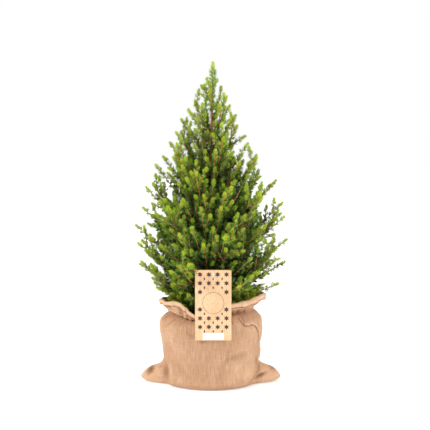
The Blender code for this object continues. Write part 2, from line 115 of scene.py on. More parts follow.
TRUNK_FOOT = POT_HEIGHT + CLOTH + GAP - SOIL_BELOW_RIM + SOIL_CROWN + GAP
TRUNK_TOP = 0.592
TRUNK_RADII = (
    (0.00, 0.0125),
    (0.02, 0.0098),
    (0.06, 0.0082),
    (0.25, 0.0068),
    (0.50, 0.0054),
    (0.75, 0.0038),
    (0.90, 0.0025),
    (1.00, 0.0015),
)
TRUNK_LEAN = 0.004
TRUNK_BOW = 0.0024
CROWN_TOP = 0.650
CROWN_OUTLINE = (
    (0.172, 0.104),
    (0.200, 0.130),
    (0.235, 0.148),
    (0.265, 0.153),
    (0.315, 0.153),
    (0.355, 0.146),
    (0.400, 0.132),
    (0.440, 0.106),
    (0.485, 0.082),
    (0.530, 0.056),
    (0.560, 0.040),
    (0.602, 0.024),
    (0.650, 0.004),
)
CLIMB = ((0.190, 24), (0.240, 34), (0.316, 43), (0.400, 51), (0.485, 58), (0.600, 64))
BRANCHES = 32
BARE_BOUGHS = 21
TOP_TIP = 0.606
LOW_TIP = 0.196
GOLDEN_ANGLE = math.radians(137.508)
FIRST_AZIMUTH = math.radians(135)
SEED = 7
BOUGH_END = 0.42
BOUGH_TIP_RADIUS = 0.0011
BOUGH_STOUTNESS = 0.0105
BOUGH_TAPER = 0.68
SIDE_SHOOT_SPACING = 0.016
SIDE_SHOOT_ANGLE = math.radians(38)
SIDE_SHOOT_LENGTH = 0.060
SIDE_SHOOT_TURNS = tuple(math.radians(turn) for turn in (0, 60, -60, 120, -120, 180))
OWN_SPACING = 1.7
SHORTEST_SHOOT = 0.024
SHOOTS_RISE = 0.12
LEADING_SHOOT = 0.062
LEAD_SHARE = 0.55
NEEDLE_REACH = 0.0112
BARE_FOOT = 0.20
STEM_ROOM = 0.0034

# ---------------------------------------------------------------- finer growth
SHADE_DEPTH = 0.115  # how far inside the crown's skin all needles take the darkest tints, both for their age and as painted shade
UP = Vector((0, 0, 1))
FINE_SEED = 41
BETWEEN_BRANCHES = 62  # slighter branches that fill the crown between the planned ones
# the long shoots that stand clear of the crown: bearing from the front, height, share of its reach
STANDING_SHOOTS = (
    (-90, 0.604, 0.87), (-76, 0.574, 0.84), (-98, 0.556, 1.12), (-86, 0.536, 1.15), (-90, 0.510, 1.06),
    (-78, 0.489, 1.06), (-98, 0.444, 1.11), (-86, 0.399, 1.00), (-90, 0.357, 0.96), (-83, 0.322, 1.01),
    (-96, 0.282, 0.99), (-86, 0.242, 0.98), (-90, 0.212, 0.89), (-79, 0.461, 1.04), (106, 0.605, 1.02),
    (83, 0.582, 1.03), (90, 0.564, 1.00), (82, 0.544, 1.05), (105, 0.518, 0.96), (82, 0.487, 0.94),
    (90, 0.457, 0.96), (82, 0.413, 1.08), (97, 0.404, 0.96), (84, 0.386, 0.76), (90, 0.367, 1.03),
    (83, 0.340, 1.01), (96, 0.290, 1.03), (86, 0.247, 1.01), (90, 0.201, 1.06), (-40, 0.443, 0.85),
    (-22, 0.432, 0.92), (3, 0.416, 0.85), (20, 0.403, 0.90), (13, 0.392, 0.92), (-6, 0.388, 0.90),
    (-28, 0.379, 0.85), (-42, 0.382, 0.80), (9, 0.365, 0.90), (-8, 0.364, 0.95), (-28, 0.339, 0.85),
    (-15, 0.328, 0.95), (2, 0.326, 0.88), (-37, 0.320, 0.85), (-25, 0.314, 0.95), (12, 0.313, 0.95),
    (19, 0.309, 0.88), (5, 0.310, 0.90), (30, 0.322, 0.85), (48, 0.303, 0.90), (-6, 0.295, 0.90),
    (-17, 0.282, 0.85), (-46, 0.289, 0.90), (-34, 0.240, 0.95), (-15, 0.255, 0.92), (-74, 0.428, 0.80),
    (-29, 0.486, 0.85), (7, 0.474, 0.90), (42, 0.450, 0.85), (90, 0.542, 0.82), (7, 0.513, 0.80),
    (-11, 0.474, 0.70), (29, 0.491, 0.80), (48, 0.376, 0.80), (33, 0.348, 0.85), (-56, 0.346, 0.85),
    (35, 0.265, 0.90), (24, 0.279, 0.92), (53, 0.327, 0.90), (42, 0.237, 0.95),
    (-91, 0.192, 0.86), (-79, 0.187, 0.82), (-66, 0.184, 0.78), (-53, 0.181, 0.74), (-103, 0.188, 0.84),
    (-85, 0.180, 0.74), (-71, 0.176, 0.70), (-43, 0.176, 0.70), (-116, 0.184, 0.80), (-130, 0.186, 0.80),
    (90, 0.200, 0.84), (78, 0.195, 0.84), (66, 0.191, 0.80), (55, 0.187, 0.78), (102, 0.194, 0.84),
    (84, 0.186, 0.78), (70, 0.183, 0.72), (44, 0.182, 0.72), (115, 0.190, 0.80), (130, 0.186, 0.80),
    (-95, 0.171, 0.85), (-82, 0.169, 0.83), (-70, 0.167, 0.80), (-108, 0.171, 0.84), (-58, 0.165, 0.78),
    (-48, 0.163, 0.74), (-122, 0.171, 0.84), (62, 0.177, 0.80), (74, 0.181, 0.83), (86, 0.178, 0.84),
    (50, 0.173, 0.76), (99, 0.180, 0.84), (112, 0.178, 0.82), (38, 0.170, 0.74),
    (-150, 0.186, 0.80), (150, 0.188, 0.80), (170, 0.184, 0.78), (-170, 0.188, 0.80), (32, 0.178, 0.68),
)
LOW_CLEAR_LENGTH = 0.016  # the same stretch on the lowest ones, under LOWEST
LOWEST = 0.21
CLEAR_LENGTH = 0.056  # the last stretch of such a shoot, which carries spurs alone
SKIRT_BRANCHES = 30  # short low ones that reach over the sack's mouth
MOUTH_ROOM = ((0.158, 0.076), (0.170, 0.092), (0.187, 0.100))  # how far they reach, by height
MOUTH_BRANCHES = 60  # shorter ones that fill the mouth itself
INNER_BRANCHES = 44  # old shaded ones that close the view through the crown
TIP_SPACING = 0.0240  # least distance between the soft tips of the crown's shoots
LATERAL_TIP_SPACING = 0.0170
MOST_TIPS = 8000
INNER_SPACING = 0.65  # the same deep inside the crown, as a share
REACH_BY_ORDER = {2: 0.86, 3: 0.85, 4: 2.0}  # how near the crown's skin a side shoot may end
SHOOT_SAG = 0.05  # how far a shoot bows below its straight line before it turns up, as a share
SHOOT_STEP = 0.016  # between the feet of a branch's side shoots
SHOOT_ANGLE = (24, 38)
SHOOT_LENGTH = (0.045, 0.080)
SHOOT_LIFT = 0.25  # how strongly side shoots turn upwards
LATERAL_STEP = 0.032
LATERAL_ANGLE = (32, 42)
LATERAL_LENGTH = (0.018, 0.030)
SPUR_STEP = 0.0044
SPUR_ANGLE = (42, 60)
SPUR_LENGTH = (0.0030, 0.0058)
TRUNK_SHOOT_STEP = 0.0090
TRUNK_SHOOT = (0.036, 0.070)
TIP_TUFT = 0.0120  # length of a shoot's end that is this year's soft growth
LOW_SHADE = 0.262  # height under which half of the shoots take a darker needle tint, as painted shade for the crown's shadow
SOFT_END = 0.0098  # the very end, which is palest
YOUNG_WOOD = 0.034  # how far behind its tip a shoot's needles are still fresh green
NEEDLES_PER_METRE = 900
TUFT_DENSITY = 6200
NEEDLE_LENGTH = (0.0072, 0.0098)
HIGH_NEEDLES = ((0.36, 1.0), (0.50, 0.95))  # share of that length, by height in the crown
# from the very tip back: distance, share of the full needle length, degrees between needle and stem
TIP_SHAPE = (
    (0.0000, 0.26, 10),
    (0.0015, 0.46, 40),
    (0.0045, 0.60, 58),
    (0.0090, 0.60, 62),
    (0.0125, 0.62, 60),
    (0.0165, 0.95, 62),
    (0.0220, 1.00, 66),
)
SPUR_AGES = (0.020, 0.050, 0.098)  # how far behind a tip its spurs turn fresh, green and dark
SPUR_NEEDLES = (13, 16)
SPUR_NEEDLE = 0.68
SPUR_SPREAD = (8, 58)  # degrees between its needles and a spur, at its end and its foot
NEEDLE_HALF_WIDTH = 0.00056
DEEP_SHARE = 0.5  # of the needles that the crown's shaded inside keeps
DEEP_WIDTH = 1.5
TWIG_TINTS = ("twig_orange", "twig_tan", "twig_brown")


# ---------------------------------------------------------------- small helpers
def between(table, at):
    """Straight-line value of a (position, value) table, held level past its ends."""
    if at <= table[0][0]:
        return table[0][1]
    for (low, first), (high, second) in zip(table, table[1:]):
        if at <= high:
            return first + (second - first) * (at - low) / (high - low)
    return table[-1][1]


def deselect_all():
    if bpy.context.object and bpy.context.object.mode != "OBJECT":
        bpy.ops.object.mode_set(mode="OBJECT")
    bpy.ops.object.select_all(action="DESELECT")


def settle(piece, body="root"):
    """Moves a piece's place into its mesh, and lets it ride on its body."""
    deselect_all()
    piece.select_set(True)
    bpy.context.view_layer.objects.active = piece
    bpy.ops.object.transform_apply(location=True, rotation=True, scale=True)
    piece.select_set(False)
    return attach(piece, body)


def apply_modifiers(piece):
    deselect_all()
    piece.select_set(True)
    bpy.context.view_layer.objects.active = piece
    for modifier in list(piece.modifiers):
        bpy.ops.object.modifier_apply(modifier=modifier.name)
    piece.select_set(False)


# ---------------------------------------------------------------- shader maths
class Value:
    """One output of a shader node. Arithmetic on it adds Math nodes to its finish."""

    def __init__(self, finish, socket):
        self.finish = finish
        self.socket = socket

    def maths(self, operation, first, second=0.0, **settings):
        return self.finish.node("ShaderNodeMath", {"operation": operation, **settings}, first, second)

    def __add__(self, other):
        return self.maths("ADD", self, other)

    def __radd__(self, other):
        return self.maths("ADD", other, self)

    def __sub__(self, other):
        return self.maths("SUBTRACT", self, other)

    def __rsub__(self, other):
        return self.maths("SUBTRACT", other, self)

    def __mul__(self, other):
        return self.maths("MULTIPLY", self, other)

    def __rmul__(self, other):
        return self.maths("MULTIPLY", other, self)

    def __truediv__(self, other):
        return self.maths("DIVIDE", self, other)

    def __pow__(self, other):
        return self.maths("POWER", self, other)

    def __mod__(self, other):
        return self.maths("FLOORED_MODULO", self, other)

    def __abs__(self):
        return self.maths("ABSOLUTE", self)

    def sine(self):
        return self.maths("SINE", self)

    def kept(self):
        """The value held between 0 and 1."""
        return self.maths("ADD", self, 0.0, use_clamp=True)


class Finish:
    """A material on one Principled shader, whose nodes are added by short calls."""

    def __init__(self, name, colour=(0.5, 0.5, 0.5), roughness=0.8, **sockets):
        self.material = bpy.data.materials.new(name)
        self.material.use_nodes = True
        self.tree = self.material.node_tree
        self.shader = self.tree.nodes["Principled BSDF"]
        self.shader.inputs["Base Color"].default_value = (*colour, 1.0)
        self.shader.inputs["Roughness"].default_value = roughness
        for name_of_socket, value in sockets.items():
            self.shader.inputs[name_of_socket.replace("_", " ")].default_value = value

    def plug(self, socket, value):
        if isinstance(value, Value):
            self.tree.links.new(value.socket, socket)
        elif value is not None:
            socket.default_value = value

    def node(self, kind, settings, *values, output=0, **named):
        """A node of that kind: its settings first, then its sockets by order or by name."""
        node = self.tree.nodes.new(kind)
        for key, value in settings.items():
            if key == "stops":
                ramp = node.color_ramp
                while len(ramp.elements) < len(value):
                    ramp.elements.new(1.0)
                for element, (position, colour) in zip(ramp.elements, value):
                    element.position = position
                    element.color = (*colour, 1.0)
            else:
                setattr(node, key, value)
        for socket, value in zip(node.inputs, values):
            self.plug(socket, value)
        for key, value in named.items():
            self.plug(node.inputs[key.replace("_", " ")], value)
        return Value(self, node.outputs[output])

    def place(self, scale=(1, 1, 1), uv=None):
        """Where a pattern is read: the piece's own space, or its UV map."""
        if uv:
            start = self.node("ShaderNodeUVMap", {"uv_map": uv})
        else:
            start = self.node("ShaderNodeTexCoord", {}, output=3)
        return self.node("ShaderNodeMapping", {}, Vector=start, Scale=scale)

    def noise(self, place, scale, detail=3.0, roughness=0.55):
        return self.node(
            "ShaderNodeTexNoise", {}, Vector=place, Scale=scale, Detail=detail, Roughness=roughness
        )

    def ramp(self, value, *stops):
        return self.node("ShaderNodeValToRGB", {"stops": stops}, value)

    def mix(self, factor, first, second, blend="MIX"):
        """Two colours mixed by a factor."""
        node = self.tree.nodes.new("ShaderNodeMix")
        node.data_type = "RGBA"
        node.blend_type = blend
        self.plug(node.inputs[0], factor)
        self.plug(node.inputs[6], first if isinstance(first, Value) else (*first, 1.0))
        self.plug(node.inputs[7], second if isinstance(second, Value) else (*second, 1.0))
        return Value(self, node.outputs[2])

    def split(self, place):
        node = self.tree.nodes.new("ShaderNodeSeparateXYZ")
        self.plug(node.inputs[0], place)
        return [Value(self, socket) for socket in node.outputs]

    def show(self, **sockets):
        for key, value in sockets.items():
            self.plug(self.shader.inputs[key.replace("_", " ")], value)

    def bump(self, height, distance, strength=1.0):
        normal = self.node("ShaderNodeBump", {}, Strength=strength, Distance=distance, Height=height)
        self.show(Normal=normal)


def dress(piece, finish):
    piece.data.materials.clear()
    piece.data.materials.append(finish.material)


# ---------------------------------------------------------------- finishes
WEAVE_PITCH = 0.0021  # from one jute thread to the next


def jute_finish():
    """Plain-woven jute: uneven threads both ways, slubs, and darker gaps between threads. Painted shade and
    painted light are mixed in by a value the mesh holds at each point.
    """
    finish = Finish("jute_weave", roughness=0.92)
    cloth = finish.place(uv="weave")
    across, up, _ = finish.split(cloth)
    drift = finish.noise(finish.place((60, 60, 60), uv="weave"), 1.0, 2.0) - 0.5
    warp = (across / WEAVE_PITCH + drift * 0.9) * math.pi
    weft = (up / WEAVE_PITCH + drift * 0.9) * math.pi
    thread_up = abs(warp.sine())
    thread_across = abs(weft.sine())
    threads = (thread_up * thread_across) ** 0.5
    slub_up = finish.noise(finish.place((430, 38, 1), uv="weave"), 1.0, 2.0)
    slub_across = finish.noise(finish.place((38, 430, 1), uv="weave"), 1.0, 2.0)
    cloud = finish.noise(finish.place((18, 18, 18), uv="weave"), 1.0, 3.0)
    grain = finish.noise(finish.place((520, 520, 520), uv="weave"), 1.0, 2.0)
    tone = slub_up * 0.34 + slub_across * 0.12 + cloud * 0.26 + grain * 0.28
    colour = finish.ramp(
        tone,
        (0.32, (0.385, 0.195, 0.096)),
        (0.44, (0.560, 0.312, 0.172)),
        (0.54, (0.670, 0.398, 0.238)),
        (0.68, (0.850, 0.572, 0.385)),
    )
    gap_tone = 1.0 - (1.0 - threads) * 0.34
    shaded = finish.mix(1.0, colour, finish.ramp(gap_tone, (0.0, (0, 0, 0)), (1.0, (1, 1, 1))), "MULTIPLY")
    # painted shade and painted light, read per point from the mesh: above 0 it paints shade, below 0 it
    # paints light
    painted_shading_mask = finish.node("ShaderNodeAttribute", {"attribute_name": "wear"}, output=2)
    # painted shade: dark brown mixed into creases, folds, hollows and under the collar
    painted_tones = finish.mix(painted_shading_mask.kept() * 0.85, shaded, (0.20, 0.085, 0.033))
    # painted light: light orange mixed onto the collar, the ears, the edges of lapped folds and lit patches
    painted_tones = finish.mix((painted_shading_mask * -1.0).kept() * 0.45, painted_tones, (1.0, 0.66, 0.40))
    finish.show(Base_Color=painted_tones, Roughness=0.86 + cloud * 0.12)
    finish.bump(threads * 0.7 + tone * 0.6, 0.0006, 0.7)
    return finish


def bark_finish():
    """Young spruce bark: orange brown, with thin scaly flakes and darker cracks."""
    finish = Finish("spruce_bark", roughness=0.85)
    long_grain = finish.noise(finish.place((260, 260, 90)), 1.0, 4.0)
    place = finish.place((420, 420, 160))
    flakes = finish.node("ShaderNodeTexVoronoi", {"feature": "DISTANCE_TO_EDGE"}, Vector=place, Scale=1.0)
    cracks = 1.0 - (flakes * 7.0).kept()
    colour = finish.ramp(
        long_grain,
        (0.30, (0.155, 0.066, 0.027)),
        (0.50, (0.360, 0.160, 0.066)),
        (0.72, (0.560, 0.290, 0.130)),
    )
    _, _, height = finish.split(finish.place((1, 1, 1)))
    young = ((height - 0.40) * 9.0).kept()
    colour = finish.mix(young * 0.85, colour, (0.640, 0.330, 0.130))
    cracked = finish.mix(cracks * 0.5, colour, (0.085, 0.038, 0.018))
    finish.show(Base_Color=cracked, Roughness=0.75 + cracks * 0.2)
    finish.bump(long_grain * 0.6 - cracks * 0.7, 0.0007, 0.8)
    return finish


def peat_finish():
    """Damp potting peat: dark crumbs with paler fibres."""
    finish = Finish("potting_peat", roughness=0.95)
    crumbs = finish.noise(finish.place((240, 240, 240)), 1.0, 5.0, 0.7)
    fibres = finish.noise(finish.place((90, 700, 700)), 1.0, 2.0)
    colour = finish.ramp(
        crumbs, (0.32, (0.012, 0.007, 0.004)), (0.52, (0.050, 0.027, 0.015)), (0.74, (0.125, 0.075, 0.042))
    )
    finish.show(
        Base_Color=finish.mix((fibres * 6.0 - 3.9).kept(), colour, (0.28, 0.18, 0.10)),
        Roughness=0.85 + crumbs * 0.15,
    )
    finish.bump(crumbs, 0.0015, 0.9)
    return finish


def plastic_finish():
    """Black blow-moulded plastic with a fine grain and dull rubbed patches."""
    finish = Finish("pot_plastic", roughness=0.5)
    grain = finish.noise(finish.place((900, 900, 900)), 1.0, 2.0)
    rub = finish.noise(finish.place((24, 24, 60)), 1.0, 4.0)
    finish.show(
        Base_Color=finish.ramp(rub, (0.35, (0.016, 0.016, 0.018)), (0.70, (0.052, 0.050, 0.050))),
        Roughness=0.38 + rub * 0.3,
    )
    finish.bump(grain * 0.6 + rub * 0.4, 0.0003, 0.5)
    return finish


def kraft_finish():
    """Unbleached card: short pulp fibres and fine specks."""
    finish = Finish("kraft_card", roughness=0.8)
    fibres = finish.noise(finish.place((520, 520, 150)), 1.0, 3.0)
    cloud = finish.noise(finish.place((45, 45, 45)), 1.0, 3.0)
    specks = finish.noise(finish.place((1400, 1400, 1400)), 1.0, 1.0)
    colour = finish.ramp(
        fibres * 0.6 + cloud * 0.4,
        (0.30, (0.660, 0.385, 0.205)),
        (0.52, (0.820, 0.520, 0.300)),
        (0.72, (0.910, 0.630, 0.400)),
    )
    finish.show(
        Base_Color=finish.mix((specks * 9.0 - 6.1).kept() * 0.5, colour, (0.40, 0.20, 0.085)),
        Roughness=0.72 + fibres * 0.16,
    )
    finish.bump(fibres, 0.0001, 0.5)
    return finish


def ink_finish():
    """Dark brown ink that the card's fibres show through."""
    finish = Finish("brown_ink", roughness=0.7)
    grain = finish.noise(finish.place((900, 900, 900)), 1.0, 3.0)
    finish.show(
        Base_Color=finish.ramp(grain, (0.30, (0.026, 0.014, 0.010)), (0.72, (0.100, 0.055, 0.035))),
        Roughness=0.62 + grain * 0.2,
    )
    return finish


def label_finish():
    """A white paper sticker, faintly clouded."""
    finish = Finish("white_paper", roughness=0.6)
    cloud = finish.noise(finish.place((160, 160, 160)), 1.0, 3.0)
    finish.show(
        Base_Color=finish.ramp(cloud, (0.3, (0.78, 0.80, 0.82)), (0.7, (0.92, 0.93, 0.93))),
        Roughness=0.5 + cloud * 0.15,
    )
    return finish


def cotton_finish():
    """Twisted cotton string."""
    finish = Finish("cotton_string", roughness=0.9)
    hairs = finish.noise(finish.place((1500, 1500, 1500)), 1.0, 2.0)
    finish.show(
        Base_Color=finish.ramp(hairs, (0.3, (0.62, 0.55, 0.42)), (0.7, (0.93, 0.89, 0.78))),
        Roughness=0.82 + hairs * 0.12,
    )
    finish.bump(hairs, 0.0002, 0.6)
    return finish


# ---------------------------------------------------------------- the tree's rule
def mouth_height(angle):
    """Height of the sack's rim: low in front, drawn up at the back and both sides."""
    bearing = math.degrees(math.remainder(angle + math.pi / 2, math.tau))
    return between(MOUTH_RIM, bearing)


def hole_height():
    return CARD_FOOT + CARD_HEIGHT - CARD_HOLE_BELOW_TOP


def trunk_axis(height):
    """Middle of the trunk at a height: upright at the soil, with one slight bow and lean."""
    share = (height - TRUNK_FOOT) / (CROWN_TOP - TRUNK_FOOT)
    bow = math.sin(math.pi * share) ** 2
    return Vector((TRUNK_LEAN * share**2 - TRUNK_BOW * bow, 0.6 * TRUNK_BOW * bow, height))


def trunk_radius(height):
    return between(TRUNK_RADII, (height - TRUNK_FOOT) / (TRUNK_TOP - TRUNK_FOOT))


def crown_reach(height):
    return between(CROWN_OUTLINE, height)


def string_route():
    """From a knot before the card, through its hole, back to the trunk and round it."""
    hole = Vector((CARD_SIDEWAYS, CARD_BACK - CARD_THICK / 2, hole_height()))
    knot_back = -(CARD_THICK / 2 + GAP)
    points = []
    radii = []
    for share, radius in ((1.0, 0.5), (0.8, 1.0), (0.3, 1.0), (0.0, 0.5)):
        points.append(hole + Vector((0, knot_back - KNOT_LENGTH * share, 0)))
        radii.append(KNOT_RADIUS * radius)
    tie = trunk_axis(TIE_HEIGHT)
    ring = trunk_radius(TIE_HEIGHT) + STRING_RADIUS + 2 * GAP
    first = hole + Vector((0, CARD_THICK * 4, 0))
    touch = tie + Vector((-ring, 0, 0))
    for step in range(6):
        share = step / 5
        sag = Vector((0, 0, -STRING_SAG * math.sin(math.pi * share)))
        points.append(first.lerp(touch, share) + sag)
    for step in range(1, WRAP_STEPS + 1):
        turn = math.pi - WRAP_TURN * step / WRAP_STEPS
        points.append(tie + Vector((math.cos(turn), math.sin(turn), 0)) * ring)
    radii += [STRING_RADIUS] * (len(points) - len(radii))
    return points, radii


class Branch:
    """One bough and the foliage it carries: a path from the trunk out to the crown's skin."""

    def __init__(self, number):
        dice = random.Random(SEED * 1000 + number)
        share = number / (BRANCHES - 1)
        self.number = number
        self.dice = dice
        self.lead = None
        self.shoots = []
        tip_height = TOP_TIP - (TOP_TIP - LOW_TIP) * share**1.08
        azimuth = FIRST_AZIMUTH + number * GOLDEN_ANGLE + dice.uniform(-0.12, 0.12)
        reach = crown_reach(tip_height) * dice.uniform(0.94, 1.0)
        climb = math.radians(between(CLIMB, tip_height) + dice.uniform(-3, 3))
        outward = Vector((math.cos(azimuth), math.sin(azimuth), 0))
        foot = max(tip_height - reach * math.tan(climb), TRUNK_FOOT + 0.010)
        self.start = trunk_axis(foot)
        self.end = Vector((outward.x * reach, outward.y * reach, tip_height))
        rise = tip_height - foot
        self.bend = self.start + outward * reach * 0.56 + Vector((0, 0, rise * 0.42))
        self.length = sum(
            (self.at((step + 1) / 8) - self.at(step / 8)).length for step in range(8)
        )

    def at(self, share):
        rest = 1 - share
        return self.start * rest**2 + self.bend * (2 * rest * share) + self.end * share**2

    def heading(self, share):
        return ((self.bend - self.start) * (1 - share) + (self.end - self.bend) * share).normalized()

    def radius(self, share):
        return (BOUGH_TIP_RADIUS + BOUGH_STOUTNESS * self.length) * (1 - BOUGH_TAPER * share)

    def has_bough(self):
        return self.number >= BRANCHES - BARE_BOUGHS

    def side_shoots(self):
        """Where side shoots may grow: a foot and its possible tips, the outermost foot first."""
        first = 0.48 if self.has_bough() else 0.32
        count = max(1, round((0.90 - first) * self.length / SIDE_SHOOT_SPACING))
        found = []
        for number in range(count):
            share = 0.90 - (0.90 - first) * number / count
            foot = self.at(share)
            heading = self.heading(share)
            across = heading.cross(UP).normalized()
            upward = across.cross(heading).normalized()
            turn = self.number + number * GOLDEN_ANGLE
            angle = SIDE_SHOOT_ANGLE + self.dice.uniform(-0.12, 0.12)
            size = SIDE_SHOOT_LENGTH * min(1.0, 0.35 + self.length / 0.20)
            size *= (1.15 - 0.45 * share) * self.dice.uniform(0.85, 1.1)
            tips = []
            for other in SIDE_SHOOT_TURNS:
                aside = across * math.cos(turn + other) + upward * math.sin(turn + other)
                direction = heading * math.cos(angle) + aside * math.sin(angle)
                direction = (direction + UP * SHOOTS_RISE).normalized()
                tips.append(foot + direction * size)
            found.append((foot, tips))
        return found


def segment_distance(a, b, c, d):
    """Shortest distance between the segments a-b and c-d."""
    u, v, w = b - a, d - c, a - c
    uu, uv, vv = u.dot(u), u.dot(v), v.dot(v)
    uw, vw = u.dot(w), v.dot(w)
    crossing = uu * vv - uv * uv
    s = 0.0 if crossing < 1e-12 else min(1.0, max(0.0, (uv * vw - vv * uw) / crossing))
    t = (uv * s + vw) / vv if vv > 1e-12 else 0.0
    if not 0.0 <= t <= 1.0:
        t = min(1.0, max(0.0, t))
        s = min(1.0, max(0.0, (uv * t - uw) / uu)) if uu > 1e-12 else 0.0
    return (w + u * s - v * t).length


class Space:
    """The room that limbs and shoots already take, so that each mass keeps to its own."""

    def __init__(self):
        self.taken = []

    def take(self, owner, start, end, radius):
        self.taken.append((owner, start, end, radius))

    def is_free(self, owner, start, end, radius):
        """True if a needled shoot is clear of other masses and its tip of its own mass's tips."""
        for other, first, second, thick in self.taken:
            if other != owner:
                if segment_distance(start, end, first, second) < radius + thick + 2 * GAP:
                    return False
            elif thick > STEM_ROOM and (end - second).length < radius * OWN_SPACING:
                return False
        return True


def clear_of_sack_and_card(start, end, radius, reach=1.0, widening=0.0):
    """True if a shoot stays inside the crown, over the sack's mouth and behind the card."""
    for step in range(5):
        point = start.lerp(end, step / 4)
        out = math.hypot(point.x, point.y)
        room = 0.081 + widening * max(0.0, point.z - NECK_HEIGHT)
        if out + radius > room and point.z - radius < mouth_height(math.atan2(point.y, point.x)) + 0.002:
            return False
        if point.z - radius < TRUNK_FOOT:
            return False
        beside_card = abs(point.x - CARD_SIDEWAYS) < CARD_WIDTH / 2 + radius
        under_card_top = point.z - radius < CARD_FOOT + CARD_HEIGHT
        if beside_card and under_card_top and point.y - radius < CARD_BACK + 0.001:
            return False
    return math.hypot(end.x, end.y) <= crown_reach(end.z) * reach + 0.002


def needle_reach(length):
    return NEEDLE_REACH * min(1.0, 0.45 + length / 0.09)


def fitted_shoot(space, owner, foot, tips):
    """The longest shoot from a foot that has room, or None."""
    for share in (1.0, 0.85, 0.7, 0.55):
        for tip in tips:
            end = foot.lerp(tip, share)
            radius = needle_reach((end - foot).length)
            sleeve = foot.lerp(end, BARE_FOOT)
            if (
                (end - foot).length > SHORTEST_SHOOT
                and clear_of_sack_and_card(sleeve, end, radius)
                and space.is_free(owner, sleeve, end, radius)
            ):
                return end
    return None


def leading_shoot(space, branch):
    """The straight shoot at a branch's tip, as (foot, tip), no longer than it has room for."""
    for share in (1.0, 0.85, 0.7, 0.55):
        length = share * min(LEADING_SHOOT, branch.length * LEAD_SHARE)
        foot = branch.at(1.0 - length / branch.length)
        if space.is_free(branch.number, foot.lerp(branch.end, BARE_FOOT), branch.end, needle_reach(length)):
            break
    return foot, branch.end


def plan_crown():
    """Every branch with the shoots that have room, worked out from the tips inwards."""
    space = Space()
    heights = [TRUNK_FOOT + (TRUNK_TOP - TRUNK_FOOT) * step / 12 for step in range(13)]
    for low, high in zip(heights, heights[1:]):
        space.take("trunk", trunk_axis(low), trunk_axis(high), trunk_radius(low))
    leader = (trunk_axis(TRUNK_TOP), trunk_axis(CROWN_TOP))
    space.take("leader", leader[0].lerp(leader[1], BARE_FOOT), leader[1], needle_reach(CROWN_TOP - TRUNK_TOP))
    route, radii = string_route()
    for start, end, radius in zip(route, route[1:], radii):
        space.take("card_string", start, end, max(radius, 0.0012))
    branches = [Branch(number) for number in range(BRANCHES)]
    for branch in branches:
        points = [branch.at(0.08 + 0.92 * step / 8) for step in range(9)]
        for start, end in zip(points, points[1:]):
            space.take(branch.number, start, end, STEM_ROOM)
    for branch in branches:
        branch.lead = leading_shoot(space, branch)
        foot, tip = branch.lead
        space.take(branch.number, foot.lerp(tip, BARE_FOOT), tip, needle_reach((tip - foot).length))
    waiting = [
        (order, branch, place)
        for branch in branches
        for order, place in enumerate(branch.side_shoots())
    ]
    waiting.sort(key=lambda item: (item[0], item[1].number))
    for _, branch, (foot, tips) in waiting:
        end = fitted_shoot(space, branch.number, foot, tips)
        if end is not None:
            space.take(branch.number, foot.lerp(end, BARE_FOOT), end, needle_reach((end - foot).length))
            branch.shoots.append((foot, end))
    return branches


# ---------------------------------------------------------------- stems and needles
def unit(vectors):
    return vectors / np.maximum(np.linalg.norm(vectors, axis=-1, keepdims=True), 1e-12)


class Stem:
    """A living shoot: a bent path from its foot to its tip, with a taper and an age."""

    def __init__(self, points, foot_radius, tip_radius, order, depth=0.0, behind=0.0, fullness=1.0):
        self.points = np.array(points, float)
        self.foot_radius = foot_radius
        self.tip_radius = tip_radius
        self.order = order
        self.depth = depth  # 0 at the crown's skin, 1 deep inside
        self.behind = behind  # how far behind its parent's tip it grows
        self.fullness = fullness  # needles on it, as a share of the usual number
        self.clear = 0.0  # length at its end that carries spurs alone
        self.vigour = 1.0  # size of its needles and of its soft end, as a share of the usual
        steps = np.linalg.norm(np.diff(self.points, axis=0), axis=1)
        self.along = np.concatenate([[0.0], np.cumsum(steps)])
        self.length = self.along[-1]

    def at(self, distance):
        """Points at distances from the foot."""
        return np.stack([np.interp(distance, self.along, self.points[:, axis]) for axis in range(3)], -1)

    def heading(self, distance):
        step = self.length * 0.04
        ahead = np.minimum(distance + step, self.length)
        behind = np.maximum(distance - step, 0.0)
        return unit(self.at(ahead) - self.at(behind))

    def radius(self, distance):
        share = np.asarray(distance) / self.length
        return self.foot_radius + (self.tip_radius - self.foot_radius) * share


def sideways(heading):
    """Two directions square to a heading, for one heading or for many."""
    flat = np.abs(heading[..., 2:3]) < 0.94
    guide = np.where(flat, np.array([0.0, 0.0, 1.0]), np.array([1.0, 0.0, 0.0]))
    across = unit(np.cross(heading, guide))
    return across, np.cross(across, heading)


def bent_path(foot, tip, sag, steps=6):
    """A path from foot to tip that bows below the straight line and turns up at its end."""
    foot, tip = np.array(foot), np.array(tip)
    middle = (foot + tip) / 2 - np.array([0, 0, sag * np.linalg.norm(tip - foot)])
    share = np.linspace(0, 1, steps)[:, None]
    return foot * (1 - share) ** 2 + middle * 2 * share * (1 - share) + tip * share**2


def depth_in_crown(point):
    """0 where a point is at the crown's skin, up to 1 far inside it."""
    out = math.hypot(point[0], point[1])
    return min(1.0, max(0.0, (crown_reach(point[2]) - out) / SHADE_DEPTH))


def inside_crown(foot, tip, radius, reach):
    start, end = Vector(foot), Vector(tip)
    return clear_of_sack_and_card(start.lerp(end, 0.3), end, radius, reach, 0.55)


class Tips:
    """The soft tips that the crown already has, so that new ones keep their distance."""

    def __init__(self):
        self.held = np.empty((MOST_TIPS, 3))
        self.count = 0

    def add(self, tip):
        self.held[self.count] = tip
        self.count += 1

    def is_free(self, tip, distance):
        if depth_in_crown(tip) > 0.42:
            distance *= INNER_SPACING
        away = self.held[: self.count] - np.array(tip)
        return np.einsum("ij,ij->i", away, away).min() >= distance * distance


